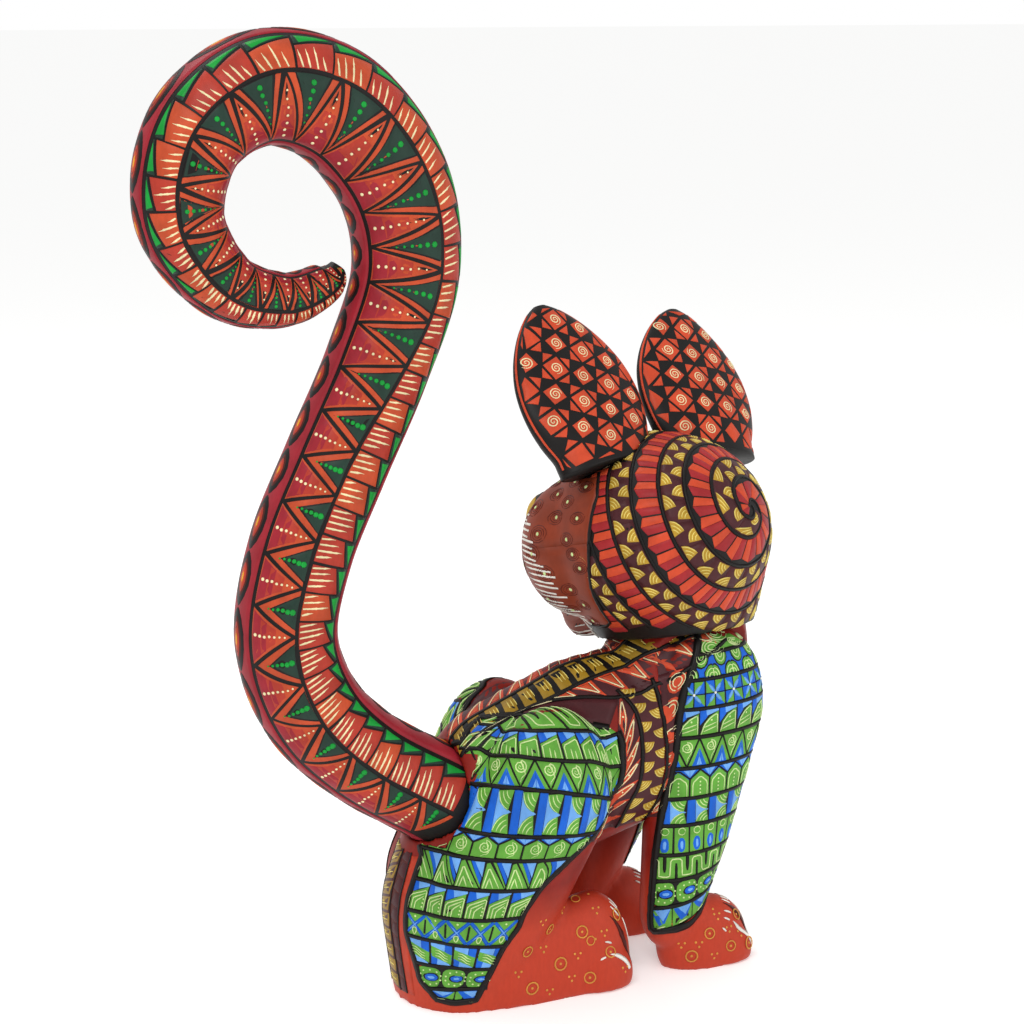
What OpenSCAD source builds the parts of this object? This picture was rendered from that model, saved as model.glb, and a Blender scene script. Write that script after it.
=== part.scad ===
// Sitting cat carved in copal wood and painted, with a tall curled tail that lifts out.
// The cat faces -Y and its left side is +X. It sits on Z = 0, and the origin is on
// the flat of the base, under the middle of the rump.

/* [Body] */
// Half width of the trunk
trunk_w = 33; // [31:0.5:34]
// Height of the middle of the joint between head and body
neck_z = 141; // [139:0.5:143]
// Distance from the origin forward to the neck
neck_y = 110; // [108:0.5:112]
// Radius of the flat that the head stands on
neck_r = 28; // [26:0.5:30]
// Half width outside the thighs
thigh_w = 43; // [40:0.5:45]
// Half width outside the feet
foot_w = 33; // [31:0.5:35]
// How far the left front paw stands behind the right one
left_paw_back = 17; // [10:1:18]
// How far the left hind foot stops short of the right one
left_foot_back = 22; // [0:1:24]

/* [Head] */
// Turn of the head to the cat's left
head_turn = 102; // [95:1:110]
// Forward nod of the head and its joint
head_nod = 11; // [8:1:13]
// Tilt of the head to its right
head_tilt = 3; // [0:1:5]
// Half width of the skull
skull_w = 46; // [43:0.5:48]
// Height of the middle of the skull above the neck joint
skull_h = 42; // [40:0.5:43]
// How far the skull hangs over the neck to the head's own left
skull_over = 11.5; // [10:0.5:13]

/* [Ears] */
// Length of an ear from its seat to its tip
ear_h = 74; // [68:1:80]
// How much shorter the right ear is
right_ear_short = 4; // [0:0.5:5]
// Half width of an ear at its widest
ear_w = 30; // [27:0.5:30.5]
// Half thickness of an ear at its thickest
ear_t = 10.5; // [9:0.5:11]
// Forward lean of the ears
ear_lean = 21; // [16:1:26]
// Outward splay of the ears
ear_splay = 7; // [3:1:10]

/* [Tail] */
// Size of the tail's thickness, 1 as carved
tail_bulk = 1; // [0.95:0.01:1.02]
// Rise of the tail's peg above level
tail_rise = 34; // [30:1:38]

/* [Pegs and dowels] */
// Side of the tail's square peg
tail_peg_side = 12; // [10:0.5:14]
// Length of the tail's peg on each side of the seat
tail_peg_depth = 28; // [22:1:30]
// Gap round the tail's peg in its socket, on each side
peg_gap = 0.2; // [0.1:0.05:0.3]
// Radius of the ear pegs
ear_peg_r = 3; // [2.5:0.1:3.5]
// Depth of an ear peg below and above its seat
ear_peg_depth = 12; // [10:0.5:14]
// Gap round an ear peg in its socket
ear_peg_gap = 0.05; // [0.02:0.01:0.1]
// Gap round a piece that is let into another
inlay_gap = 0.35; // [0.3:0.05:0.5]
// Radius of the neck dowel
neck_dowel_r = 6; // [5:0.5:8]
// Depth of the neck dowel on each side of its joint
neck_dowel_depth = 22; // [18:1:26]
// Radius of the shoulder dowels
shoulder_dowel_r = 4; // [3:0.5:5]
// Depth of a shoulder dowel on each side of its joint
shoulder_dowel_depth = 9; // [7:0.5:10]

/* [Hidden] */
far = 500;                 // longer than anything here
blob_fn = 32;              // sides of the carved rounds
leg_seat_x = 20;           // the front legs are glued on the flats at this half width
leg_seat_y = -87;          // and stop at this step in the flank
shoulder_y = -110;
shoulder_z = 104;

// The tail's middle line and thickness, from its seat to its tip: back, up, half depth, half width
tail_line = [[36, 106.5, 19.5, 18.5], [57, 129, 20, 18.5], [66.5, 158, 20, 18.5], [60, 191, 20.5, 19],
             [45, 224, 20.5, 19], [27, 261, 20.5, 19], [14.5, 297, 21, 19.5], [19.5, 331, 22, 20],
             [42, 359, 22.4, 20], [72, 367, 21, 19.5], [98, 351, 18.8, 18], [105, 321, 16.5, 16],
             [89, 296, 13, 13.5], [66, 288.5, 10.2, 11], [48, 294, 7.6, 8.5], [42.6, 300, 3, 3.5]];
tail_seat = [0, -4, 80];
tail_root_r = 20;          // the round foot of the tail, let into the rump
tail_root_h = 14;
tail_sides = 20;
tail_steps = 4;            // rings between one point of the line and the next

// The ear's outline from its seat to its tip: part of the height, of the width and of the thickness,
// and the dish of its front. The first two are alike, so that the root slides straight out.
ear_line = [[0, 0.81, 1.0, 0.1], [0.09, 0.81, 1.0, 0.1], [0.2, 0.92, 1.0, 0.6], [0.32, 0.99, 0.93, 1.1],
            [0.44, 1, 0.84, 1.25], [0.56, 0.95, 0.76, 1.25], [0.68, 0.83, 0.66, 1.1], [0.79, 0.66, 0.55, 0.9],
            [0.88, 0.47, 0.44, 0.5], [0.95, 0.27, 0.31, 0.2], [0.99, 0.1, 0.16, 0]];
ear_sides = 24;
ear_seat = [-11, 28, 28];    // from the middle of the skull: forward, left, up

// A point of the smooth curve through four points, part way from the second to the third
function spline(a, b, c, d, t) =
    ((2 * b) + (c - a) * t + (2 * a - 5 * b + 4 * c - d) * t * t + (3 * b - a - 3 * c + d) * t * t * t) / 2;

// The smooth curve through a list of points, with some steps between each two
function curve(p, steps) =
    [for (i = [0 : len(p) - 2], k = [0 : steps - 1])
        spline(p[max(i - 1, 0)], p[i], p[i + 1], p[min(i + 2, len(p) - 1)], k / steps), p[len(p) - 1]];

// A closed skin over rings that all have the same number of points
module skin(rings) {
    n = len(rings[0]);
    last = (len(rings) - 1) * n;
    sides = [for (r = [0 : len(rings) - 2], i = [0 : n - 1])
        let (a = r * n + i, b = r * n + (i + 1) % n) each [[a, b, a + n], [b, b + n, a + n]]];
    foot = [for (i = [1 : n - 2]) [0, i + 1, i]];
    tip = [for (i = [1 : n - 2]) [last, last + i, last + i + 1]];
    polyhedron(points = [for (r = rings) each r], faces = concat(sides, foot, tip), convexity = 6);
}

// Carved forms joined into one skin, at the size that they have
module carved() resize([0, 0, 0]) union() children();

module blob(at, size) translate(at) scale(size) sphere(r = 1, $fn = blob_fn);

// The frame of the neck joint: the joint is on Z = 0, and the head above it faces +X
module in_neck() translate([0, -neck_y, neck_z]) rotate(head_turn - 90) rotate([0, head_nod, 0]) children();

// The frame of the head: the middle of the skull is at the origin, it faces +X and its left is +Y
module in_head() in_neck() translate([-0.5, skull_over, skull_h]) rotate([head_tilt, 0, 0]) children();

// The frame of an ear's seat: the ear grows along +Z and its back faces -X. side is 1 on the cat's left
module in_ear(side)
    in_head() translate([ear_seat[0], side * ear_seat[1], ear_seat[2]])
        rotate([-side * ear_splay, 0, 0]) rotate([0, ear_lean, 0]) children();

// The frame of the tail's seat: the tail leaves along +Z
module in_tail() translate(tail_seat) rotate([tail_rise - 90, 0, 0]) children();

module rump_base() translate([0, -9, 0]) cylinder(r = 29, h = 8, $fn = blob_fn);

module thigh(side) {
    foot_back = side > 0 ? left_foot_back : 0;
    hull() {
        blob([side * (thigh_w - 19), -35.5, 87], [19, 27, 35]);
        blob([side * 19, -9, 44], [17, 25, 30]);
        blob([side * 15, -10, 8], [15, 19, 10]);
    }
    // hock and foot
    hull() {
        blob([side * (foot_w - 13.5), -20, 10], [13, 18, 22]);
        blob([side * (foot_w - 13), -56 + foot_back, 9], [13, 19, 31]);
    }
}

module chest() blob([0, -100, 101], [trunk_w, 39, 36]);

module rump() blob([0, -21, 80], [trunk_w - 5, 28, 38]);

module trunk() {
    hull() {
        rump_base();
        blob([0, -4, 36], [30, 28.5, 36]);
        rump();
    }
    // the back rises in a low ridge from the tail to the neck
    hull() {
        rump();
        blob([0, -60, 101], [19, 32, 32.5]);
        chest();
    }
    hull() {
        chest();
        in_neck() translate([0, 0, -8]) cylinder(r = neck_r, h = 9, $fn = blob_fn);
    }
}

module torso_form() carved() {
    trunk();
    for (side = [-1, 1]) thigh(side);
}

module leg_form(side) {
    back = side > 0 ? left_paw_back : 0;
    out = back / 3;
    hull() {
        blob([side * 22, -111, 113], [13, 26, 34]);
        blob([side * (20.5 + out / 2), -103 + 0.7 * back, 62], [12.5, 20.5, 20]);
    }
    hull() {
        blob([side * (20.5 + out / 2), -103 + 0.7 * back, 62], [12.5, 20.5, 20]);
        blob([side * (20.5 + out), -95 + back, 26], [12, 13, 18]);
    }
    blob([side * (foot_w - 13 + out), -111 + back, 9], [13, 21, 20]);
}

// The room that the body keeps for itself beside a front leg
module body_room(side) {
    translate([side > 0 ? -far : -leg_seat_x, -far / 2, 0]) cube([far + leg_seat_x, far, far]);
    translate([-far / 2, leg_seat_y, 0]) cube(far);
}

// Everything above the neck joint
module over_neck() in_neck() translate([-far / 2, -far / 2, 0]) cube(far);

module below_floor() translate([-far / 2, -far / 2, -far]) cube(far);

module head_form() in_head() carved() {
    hull() {
        blob([-6, 0, -1], [48.5, skull_w, 42.5]);
        translate([0.5, -skull_over, -skull_h - 2]) cylinder(r = neck_r + 4, h = 8, $fn = blob_fn);
    }
    hull() {
        blob([15, 22, -4], [27, 25.5, 29]);
        blob([15, -22, -4], [27, 25.5, 29]);
        blob([36, 0, -14], [19, 18, 17]);
    }
    // chin
    hull() {
        blob([36, 0, -14], [19, 18, 17]);
        blob([35, 0, -33], [15, 16, 13]);
    }
}

// One ring of the ear. Its back is round and its front is dished
function ear_ring(p, h = ear_h) =
    [for (i = [0 : ear_sides - 1]) let (a = 360 * i / ear_sides, w = ear_w * p[1], t = ear_t * p[2])
        [cos(a) > 0 ? t * cos(a) * (1 - p[3] * cos(a) * cos(a)) : t * cos(a), w * sin(a), h * p[0]]];

function ear_length(side) = side > 0 ? ear_h : ear_h - right_ear_short;

// A thin slice of the room that the ear's root takes: as wide as the ear with a gap round it, and not dished
module ear_slice(side, k) translate([0, 0, ear_length(side) * ear_line[k][0]]) linear_extrude(0.1)
    polygon([for (q = ear_ring([0, ear_line[k][1], 1, 0.1])) let (r = norm([q[0], q[1]]))
        [q[0], q[1]] * (r + inlay_gap) / r]);

// The socket of an ear, which widens upwards, so that the ear slides out
module ear_room(side) {
    hull() for (k = [0, 1]) ear_slice(side, k);
    hull() for (k = [1, 2]) ear_slice(side, k);
    hull() for (k = [2, 3]) ear_slice(side, k);
}

function tail_ring(p, q, back) =
    let (way = (q - p) / norm(q - p))
    [for (i = [0 : tail_sides - 1]) let (a = 360 * i / tail_sides)
        [back[3] * sin(a), back[0] - way[1] * back[2] * cos(a), back[1] + way[0] * back[2] * cos(a)]];

module tail_form() {
    start = [tail_seat[1], tail_seat[2]];
    way = [cos(tail_rise), sin(tail_rise)];
    root = [for (h = [0, tail_root_h]) concat(start + h * way, [tail_root_r, tail_root_r])];
    bulk = [1, 1, tail_bulk, tail_bulk];
    line = concat([root[0]], curve(concat([root[1]], [for (p = tail_line) [for (k = [0 : 3]) p[k] * bulk[k]]]),
                                   tail_steps));
    n = len(line);
    flat = [for (p = line) [p[0], p[1]]];
    skin([for (i = [0 : n - 1]) tail_ring(flat[max(i - 1, 0)], flat[min(i + 1, n - 1)], line[i])]);
}

module peg(side, depth, up) translate([-side / 2, -side / 2, -depth]) cube([side, side, depth + up]);

module neck_dowel_at() in_neck() translate([0, 0, -neck_dowel_depth])
    cylinder(r = neck_dowel_r, h = 2 * neck_dowel_depth, $fn = 48);

module shoulder_dowel_at(side)
    translate([side * leg_seat_x, shoulder_y, shoulder_z]) rotate([0, 90, 0])
        cylinder(r = shoulder_dowel_r, h = 2 * shoulder_dowel_depth, center = true, $fn = 32);

module torso() color("firebrick") difference() {
    torso_form();
    below_floor();
    // flats that the front legs are glued on
    for (side = [-1, 1]) {
        translate([side > 0 ? leg_seat_x : -far - leg_seat_x, leg_seat_y - far, 0]) cube(far);
        shoulder_dowel_at(side);
    }
    over_neck();
    neck_dowel_at();
    in_tail() {
        cylinder(r = tail_root_r + inlay_gap, h = far, $fn = 64);
        peg(tail_peg_side + 2 * peg_gap, tail_peg_depth + 1, 1);
    }
}

module front_leg(side) color("royalblue") difference() {
    carved() difference() {
        leg_form(side);
        intersection() {
            trunk();
            body_room(side);
        }
    }
    below_floor();
    over_neck();
    shoulder_dowel_at(side);
}

module front_leg_left() front_leg(1);
module front_leg_right() front_leg(-1);

module head() color("sienna") difference() {
    head_form();
    // nothing of the head reaches below the joint
    in_neck() translate([-far / 2, -far / 2, -far]) cube(far);
    neck_dowel_at();
    for (side = [-1, 1]) in_ear(side) {
        ear_room(side);
        translate([0, 0, -ear_peg_depth - 0.5])
            cylinder(r = ear_peg_r + ear_peg_gap, h = ear_peg_depth + 1, $fn = 32);
    }
}

module ear(side) color("orangered") in_ear(side) difference() {
    skin([for (p = ear_line) ear_ring(p, ear_length(side))]);
    translate([0, 0, -1]) cylinder(r = ear_peg_r, h = ear_peg_depth + 1, $fn = 32);
}

module ear_left() ear(1);
module ear_right() ear(-1);

module ear_peg(side) color("burlywood") in_ear(side) translate([0, 0, -ear_peg_depth])
    cylinder(r = ear_peg_r, h = 2 * ear_peg_depth, $fn = 32);

module ear_peg_left() ear_peg(1);
module ear_peg_right() ear_peg(-1);

module tail() color("darkgreen") difference() {
    tail_form();
    in_tail() peg(tail_peg_side, 1, tail_peg_depth);
}

module tail_peg() color("burlywood") in_tail() peg(tail_peg_side, tail_peg_depth, tail_peg_depth);
module neck_dowel() color("burlywood") neck_dowel_at();
module shoulder_dowel_left() color("burlywood") shoulder_dowel_at(1);
module shoulder_dowel_right() color("burlywood") shoulder_dowel_at(-1);

torso();
head();
neck_dowel();
front_leg_left();
front_leg_right();
shoulder_dowel_left();
shoulder_dowel_right();
ear_left();
ear_right();
ear_peg_left();
ear_peg_right();
tail();
tail_peg();
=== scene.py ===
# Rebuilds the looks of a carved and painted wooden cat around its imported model.
# Lengths in the dictionaries are millimetres and angles are degrees; meshes are made in metres.
import math

import bmesh
import bpy
import numpy as np
from mathutils import Matrix, Vector
from mathutils.bvhtree import BVHTree


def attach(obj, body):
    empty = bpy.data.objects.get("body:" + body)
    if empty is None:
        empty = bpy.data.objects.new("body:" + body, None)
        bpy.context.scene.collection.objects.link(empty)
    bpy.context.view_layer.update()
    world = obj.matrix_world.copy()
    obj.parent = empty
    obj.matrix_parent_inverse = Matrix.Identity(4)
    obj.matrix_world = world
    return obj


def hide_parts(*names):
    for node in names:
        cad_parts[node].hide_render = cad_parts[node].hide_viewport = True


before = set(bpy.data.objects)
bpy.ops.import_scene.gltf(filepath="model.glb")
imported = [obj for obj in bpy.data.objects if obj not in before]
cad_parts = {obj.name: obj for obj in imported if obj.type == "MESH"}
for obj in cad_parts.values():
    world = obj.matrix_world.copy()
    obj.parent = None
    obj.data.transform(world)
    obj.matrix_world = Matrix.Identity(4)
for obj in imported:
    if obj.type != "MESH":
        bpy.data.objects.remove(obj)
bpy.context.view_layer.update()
mm = 0.001
rng = np.random.default_rng(11)  # every small unevenness of the hand comes from this one seed


def linear(hexColour):
    parts = [int(hexColour[i:i + 2], 16) / 255 for i in (1, 3, 5)]
    return tuple(p / 12.92 if p < 0.04045 else ((p + 0.055) / 1.055) ** 2.4 for p in parts) + (1.0,)


def addNode(tree, kind, settings=None, links=None):
    node = tree.nodes.new(kind)
    for key, value in (settings or {}).items():
        if isinstance(key, int) or key in node.inputs:
            node.inputs[key].default_value = value
        else:
            setattr(node, key, value)
    for key, source in (links or {}).items():
        tree.links.new(source, node.inputs[key])
    return node


def linked(name, data):
    made = bpy.data.objects.new(name, data)
    bpy.context.scene.collection.objects.link(made)
    return made


def addPiece(name, mesh, material, body):
    piece = linked(name, mesh)
    mesh.materials.clear()
    mesh.materials.append(material)
    mesh.shade_smooth()
    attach(piece, body)
    return piece


def baked(holder, name):
    # the evaluated object as a plain mesh, and the holder is thrown away
    bpy.context.view_layer.update()
    seen = holder.evaluated_get(bpy.context.evaluated_depsgraph_get())
    mesh = bpy.data.meshes.new_from_object(seen)
    mesh.name = name
    bpy.data.objects.remove(holder)
    return mesh


# ---- materials ----

# Acrylic paint brushed by hand on sanded copal: an even colour with faint brush streaks, and a soft sheen
acrylic = {"streakWidth": 1.3, "cloudSize": 9.0, "roughness": 0.45, "relief": 0.035, "sheen": 0.2, "clouding": 0.16,
           "fadeLow": 33.0, "fadeHigh": 52.0}


def acrylicPaint(name, hexColour, low=None):
    material = bpy.data.materials.new("acrylicPaint" + name)
    material.use_nodes = True
    tree = material.node_tree
    tree.nodes.clear()
    place = addNode(tree, "ShaderNodeTexCoord").outputs["Object"]
    # streaks are long one way, as a brush leaves them
    stretch = addNode(tree, "ShaderNodeMapping", {"Scale": (1, 1, 0.3), "Rotation": (0.4, 0.3, 0.2)},
                      {"Vector": place})
    streaks = addNode(tree, "ShaderNodeTexNoise", {"Scale": 1 / (acrylic["streakWidth"] * mm), "Detail": 3.0},
                      {"Vector": stretch.outputs[0]})
    clouds = addNode(tree, "ShaderNodeTexNoise", {"Scale": 1 / (acrylic["cloudSize"] * mm), "Detail": 2.0},
                     {"Vector": place})
    base = np.array(linear(hexColour)[:3])
    ramp = addNode(tree, "ShaderNodeValToRGB", {}, {"Fac": clouds.outputs["Fac"]})
    ramp.color_ramp.elements[0].position, ramp.color_ramp.elements[1].position = 0.36, 0.66
    ramp.color_ramp.elements[0].color = (*(base * (1 - acrylic["clouding"])), 1)
    ramp.color_ramp.elements[1].color = (*(base * (1 + acrylic["clouding"] * 0.4)), 1)
    mix = addNode(tree, "ShaderNodeMix", {"data_type": "RGBA", "blend_type": "MULTIPLY"})
    mix.inputs[0].default_value = 0.22
    colour = ramp.outputs[0]
    if low:
        height = addNode(tree, "ShaderNodeSeparateXYZ", {}, {"Vector": place}).outputs["Z"]
        fade = addNode(tree, "ShaderNodeMapRange",
                       {"From Min": acrylic["fadeLow"] * mm, "From Max": acrylic["fadeHigh"] * mm},
                       {"Value": height})
        blend = addNode(tree, "ShaderNodeMix", {"data_type": "RGBA"}, {0: fade.outputs[0], 7: colour})
        blend.inputs[6].default_value = linear(low)
        colour = blend.outputs[2]
    tree.links.new(colour, mix.inputs[6])
    tree.links.new(streaks.outputs["Fac"], mix.inputs[7])
    bump = addNode(tree, "ShaderNodeBump", {"Strength": 0.35, "Distance": acrylic["relief"] * mm},
                   {"Height": streaks.outputs["Fac"]})
    shader = addNode(tree, "ShaderNodeBsdfPrincipled",
                     {"Roughness": acrylic["roughness"], "IOR": 1.49, "Specular IOR Level": acrylic["sheen"]},
                     {"Base Color": mix.outputs[2], "Normal": bump.outputs[0]})
    addNode(tree, "ShaderNodeOutputMaterial", {}, {"Surface": shader.outputs[0]})
    return material


# ---- paint ----
# Paint lies on the wood as thin closed skins. A canvas is a function of two arrays, mm along and mm across
# (or degrees), that returns points and outward directions on the carved surface, in mm.

paintLayers = {"ground": 0.10, "fill": 0.22, "stroke": 0.34, "under": -0.35}
paint = {}      # (region, colour) -> lists of points and faces
spots = {}      # (region, colour) -> point, outward direction, radius
rings = {}


def keepPaint(key, points, faces):
    bag = paint.setdefault(key, [[], [], 0])
    bag[0].append(points)
    bag[1].extend([tuple(i + bag[2] for i in f) for f in faces])
    bag[2] += len(points)


def patch(key, canvas, along, across, lift=None):
    # a sheet of paint over a grid of canvas positions, closed underneath
    lift = paintLayers["ground"] if lift is None else lift
    a, c = np.meshgrid(along, across, indexing="ij")
    points, out = canvas(a.ravel(), c.ravel())
    n, m = len(along), len(across)
    top, low = points + out * lift, points + out * paintLayers["under"]
    faces = []
    for i in range(n - 1):
        for j in range(m - 1):
            k = i * m + j
            faces.append((k, k + m, k + m + 1, k + 1))
            faces.append((k + 1 + n * m, k + m + 1 + n * m, k + m + n * m, k + n * m))
    rim = ([i * m for i in range(n)] + [(n - 1) * m + j for j in range(1, m)]
           + [i * m + m - 1 for i in range(n - 2, -1, -1)] + [j for j in range(m - 2, 0, -1)])
    for p, q in zip(rim, rim[1:] + rim[:1]):
        faces.append((q, p, p + n * m, q + n * m))
    # the grid may run clockwise on a mirrored canvas, so look which way its first face turns
    crossed = np.cross(top[m] - top[0], top[1] - top[0])
    if np.dot(crossed, out[0]) < 0:
        faces = [f[::-1] for f in faces]
    keepPaint(key, np.vstack([top, low]), faces)


def ringed(outline, step):
    # the outline with points added so that no side is longer than step
    found = []
    for p, q in zip(outline, np.roll(outline, -1, axis=0)):
        count = max(1, int(math.ceil(np.linalg.norm(q - p) / step)))
        found += [p + (q - p) * t / count for t in range(count)]
    return np.array(found)


def fill(key, canvas, outline, lift=None, step=2.2, centre=None, jitter=0.12):
    # a patch of paint inside an outline that can be seen whole from its centre
    lift = paintLayers["fill"] if lift is None else lift
    outline = np.array(outline, float)
    if jitter:
        outline = outline + rng.normal(0, jitter, outline.shape)
    outline = ringed(outline, step)
    centre = outline.mean(0) if centre is None else np.array(centre, float)
    size = np.abs(outline - centre).mean() + 0.1
    inset = max(0.4, 1 - 0.22 / size)
    n = len(outline)
    wide = size > 3.5
    rounds = [outline, outline,
              centre + (outline - centre) * inset] + ([centre + (outline - centre) * 0.5] if wide else [])
    flat = np.vstack(rounds + [centre[None], centre[None]])
    points, out = canvas(flat[:, 0], flat[:, 1])
    lifts = np.concatenate([np.full(n, paintLayers["under"]), np.full(n, lift * 0.45), np.full(n, lift)]
                           + ([np.full(n, lift)] if wide else []) + [[lift, paintLayers["under"]]])
    points = points + out * lifts[:, None]
    faces, loops = [], len(rounds)
    for i in range(n):
        j = (i + 1) % n
        for r in range(loops - 1):
            faces.append((r * n + i, r * n + j, (r + 1) * n + j, (r + 1) * n + i))
        faces.append(((loops - 1) * n + i, (loops - 1) * n + j, loops * n))
        faces.append((j, i, loops * n + 1))
    top = points[(loops - 1) * n:loops * n]
    turn = np.zeros(3)
    for i in range(n):
        turn += np.cross(top[i] - points[loops * n], top[(i + 1) % n] - points[loops * n])
    if np.dot(turn, out[-1]) < 0:
        faces = [f[::-1] for f in faces]
    keepPaint(key, points, faces)


def stroke(key, canvas, path, width, lift=None, taper=(0.35, 0.35), step=1.6):
    # a line of paint with a low rounded back. taper is the width at its two ends, as a part of its full width
    lift = paintLayers["stroke"] if lift is None else lift
    path = np.array(path, float)
    legs = np.linalg.norm(np.diff(path, axis=0), axis=1)
    length = np.concatenate([[0], np.cumsum(legs)])
    if length[-1] < 0.2:
        return
    count = max(3, int(length[-1] / step) + 2, len(path))
    at = np.linspace(0, length[-1], count)
    flat = np.column_stack([np.interp(at, length, path[:, 0]), np.interp(at, length, path[:, 1])])
    points, out = canvas(flat[:, 0], flat[:, 1])
    along = np.gradient(points, axis=0)
    side = np.cross(out, along)
    side /= np.linalg.norm(side, axis=1)[:, None] + 1e-9
    t = at / length[-1]
    swell = [end + (1 - end) * part / 0.3 for end, part in zip(taper, (t, 1 - t))]
    w = width * np.minimum(1, np.minimum(*swell))
    w = (w * (1 + rng.normal(0, 0.05, count)))[:, None] / 2
    edge = out * (lift - 0.16)
    rows = np.stack([points + side * w + edge, points + out * (lift + 0.05), points - side * w + edge,
                     points + out * paintLayers["under"]], axis=1).reshape(-1, 3)
    faces = [(i * 4 + k, i * 4 + (k + 1) % 4, i * 4 + 4 + (k + 1) % 4, i * 4 + 4 + k)
             for i in range(count - 1) for k in range(4)]
    e = (count - 1) * 4
    faces += [(3, 2, 1, 0), (e, e + 1, e + 2, e + 3)]
    keepPaint(key, rows, faces)


def spot(key, canvas, at, radius, lift=None, kept=spots, sunk=0.1):
    # a small dome of paint
    lift = paintLayers["stroke"] if lift is None else lift
    points, out = canvas(np.array([at[0]], float), np.array([at[1]], float))
    kept.setdefault(key, []).append((points[0] + out[0] * (lift - sunk), out[0], radius))


def ring(key, canvas, at, radius, lift):
    spot(key, canvas, at, radius, lift, rings, 0)


def cell(canvas, a0, a1, c0, c1):
    # a cell of a band, in mm from its corner: its canvas, its width and its height
    corners, _ = canvas(np.array([a0, a1, (a0 + a1) / 2, (a0 + a1) / 2], float),
                        np.array([(c0 + c1) / 2, (c0 + c1) / 2, c0, c1], float))
    wide, high = np.linalg.norm(corners[1] - corners[0]), np.linalg.norm(corners[3] - corners[2])

    def inside(x, y):
        return canvas(a0 + x * (a1 - a0) / wide, c0 + y * (c1 - c0) / high)
    return inside, wide, high


def spiral(x, y, radius, turns, start=0.0, hand=1, inner=0.12, count=26):
    t = np.linspace(0, 1, count)
    a = start + hand * 2 * math.pi * turns * t
    r = radius * (inner + (1 - inner) * t)
    return np.column_stack([x + r * np.cos(a), y + r * np.sin(a)])


def arc(x, y, radius, fromDegrees, toDegrees, count=8):
    a = np.radians(np.linspace(fromDegrees, toDegrees, count))
    return np.column_stack([x + radius * np.cos(a), y + radius * np.sin(a)])


def geometryTree(name, inputs):
    # a new Geometry Nodes tree, its entry node, and the identifiers of its named inputs
    tree = bpy.data.node_groups.new(name, "GeometryNodeTree")
    tree.interface.new_socket("Geometry", in_out="INPUT", socket_type="NodeSocketGeometry")
    found = {key: tree.interface.new_socket(key, in_out="INPUT", socket_type="NodeSocket" + kind).identifier
             for key, kind in inputs.items()}
    tree.interface.new_socket("Geometry", in_out="OUTPUT", socket_type="NodeSocketGeometry")
    return tree, addNode(tree, "NodeGroupInput"), found


def coated(tree, geometry, material):
    real = addNode(tree, "GeometryNodeRealizeInstances", {}, {"Geometry": geometry})
    coat = addNode(tree, "GeometryNodeSetMaterial", {"Material": material}, {"Geometry": real.outputs[0]})
    addNode(tree, "NodeGroupOutput", {}, {"Geometry": coat.outputs[0]})


def attribute(tree, name, kind="FLOAT"):
    return addNode(tree, "GeometryNodeInputNamedAttribute", {"data_type": kind, "Name": name}).outputs[0]


def meshOf(name, points, faces):
    mesh = bpy.data.meshes.new(name)
    mesh.from_pydata([tuple(p) for p in points * mm], [], faces)
    mesh.update()
    return mesh


def scatterTree(name, kind, material):
    # stands a small dome or ring on each point, along its outward direction
    tree, entry, sockets = geometryTree(name, {"Height": "Float", "Sides": "Int"})
    if kind == "dome":
        shape = addNode(tree, "GeometryNodeMeshUVSphere", {"Rings": 4, "Radius": 1.0},
                        {"Segments": entry.outputs["Sides"]})
        form = shape.outputs[0]
    else:
        loop = addNode(tree, "GeometryNodeCurvePrimitiveCircle",
                       {"Radius": 1.0}, {"Resolution": entry.outputs["Sides"]})
        section = addNode(tree, "GeometryNodeCurvePrimitiveCircle", {"Radius": 0.14, "Resolution": 4})
        sweep = addNode(tree, "GeometryNodeCurveToMesh", {},
                        {"Curve": loop.outputs[0], "Profile Curve": section.outputs[0]})
        form = sweep.outputs[0]
    flat = addNode(tree, "ShaderNodeCombineXYZ", {"X": 1.0, "Y": 1.0}, {"Z": entry.outputs["Height"]})
    low = addNode(tree, "GeometryNodeTransform", {}, {"Geometry": form, "Scale": flat.outputs[0]})
    upright = addNode(tree, "FunctionNodeAlignRotationToVector", {"axis": "Z"},
                      {"Vector": attribute(tree, "outward", "FLOAT_VECTOR")})
    stand = addNode(tree, "GeometryNodeInstanceOnPoints", {},
                    {"Points": entry.outputs["Geometry"], "Instance": low.outputs[0],
                     "Rotation": upright.outputs[0], "Scale": attribute(tree, "radius")})
    coated(tree, stand.outputs[0], material)
    return tree, sockets


def written(mesh, name, values, kind="FLOAT"):
    # values at a mesh's points, under a name that a node can read
    data = mesh.attributes.new(name, kind, "POINT").data
    data.foreach_set("value" if kind == "FLOAT" else "vector", np.array(values, np.float32).ravel())


def scattered(name, kind, marks, material, height, sides):
    mesh = bpy.data.meshes.new(name)
    mesh.from_pydata([tuple(p * mm) for p, _, _ in marks], [], [])
    written(mesh, "outward", [out for _, out, _ in marks], "FLOAT_VECTOR")
    written(mesh, "radius", [radius * mm for _, _, radius in marks])
    holder = linked(name, mesh)
    tree, sockets = scatterTree(name, kind, material)
    nodes = holder.modifiers.new("Scatter", "NODES")
    nodes.node_group = tree
    nodes[sockets["Height"]] = height
    nodes[sockets["Sides"]] = sides
    return baked(holder, name)


# ---- the carved skins ----

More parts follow.
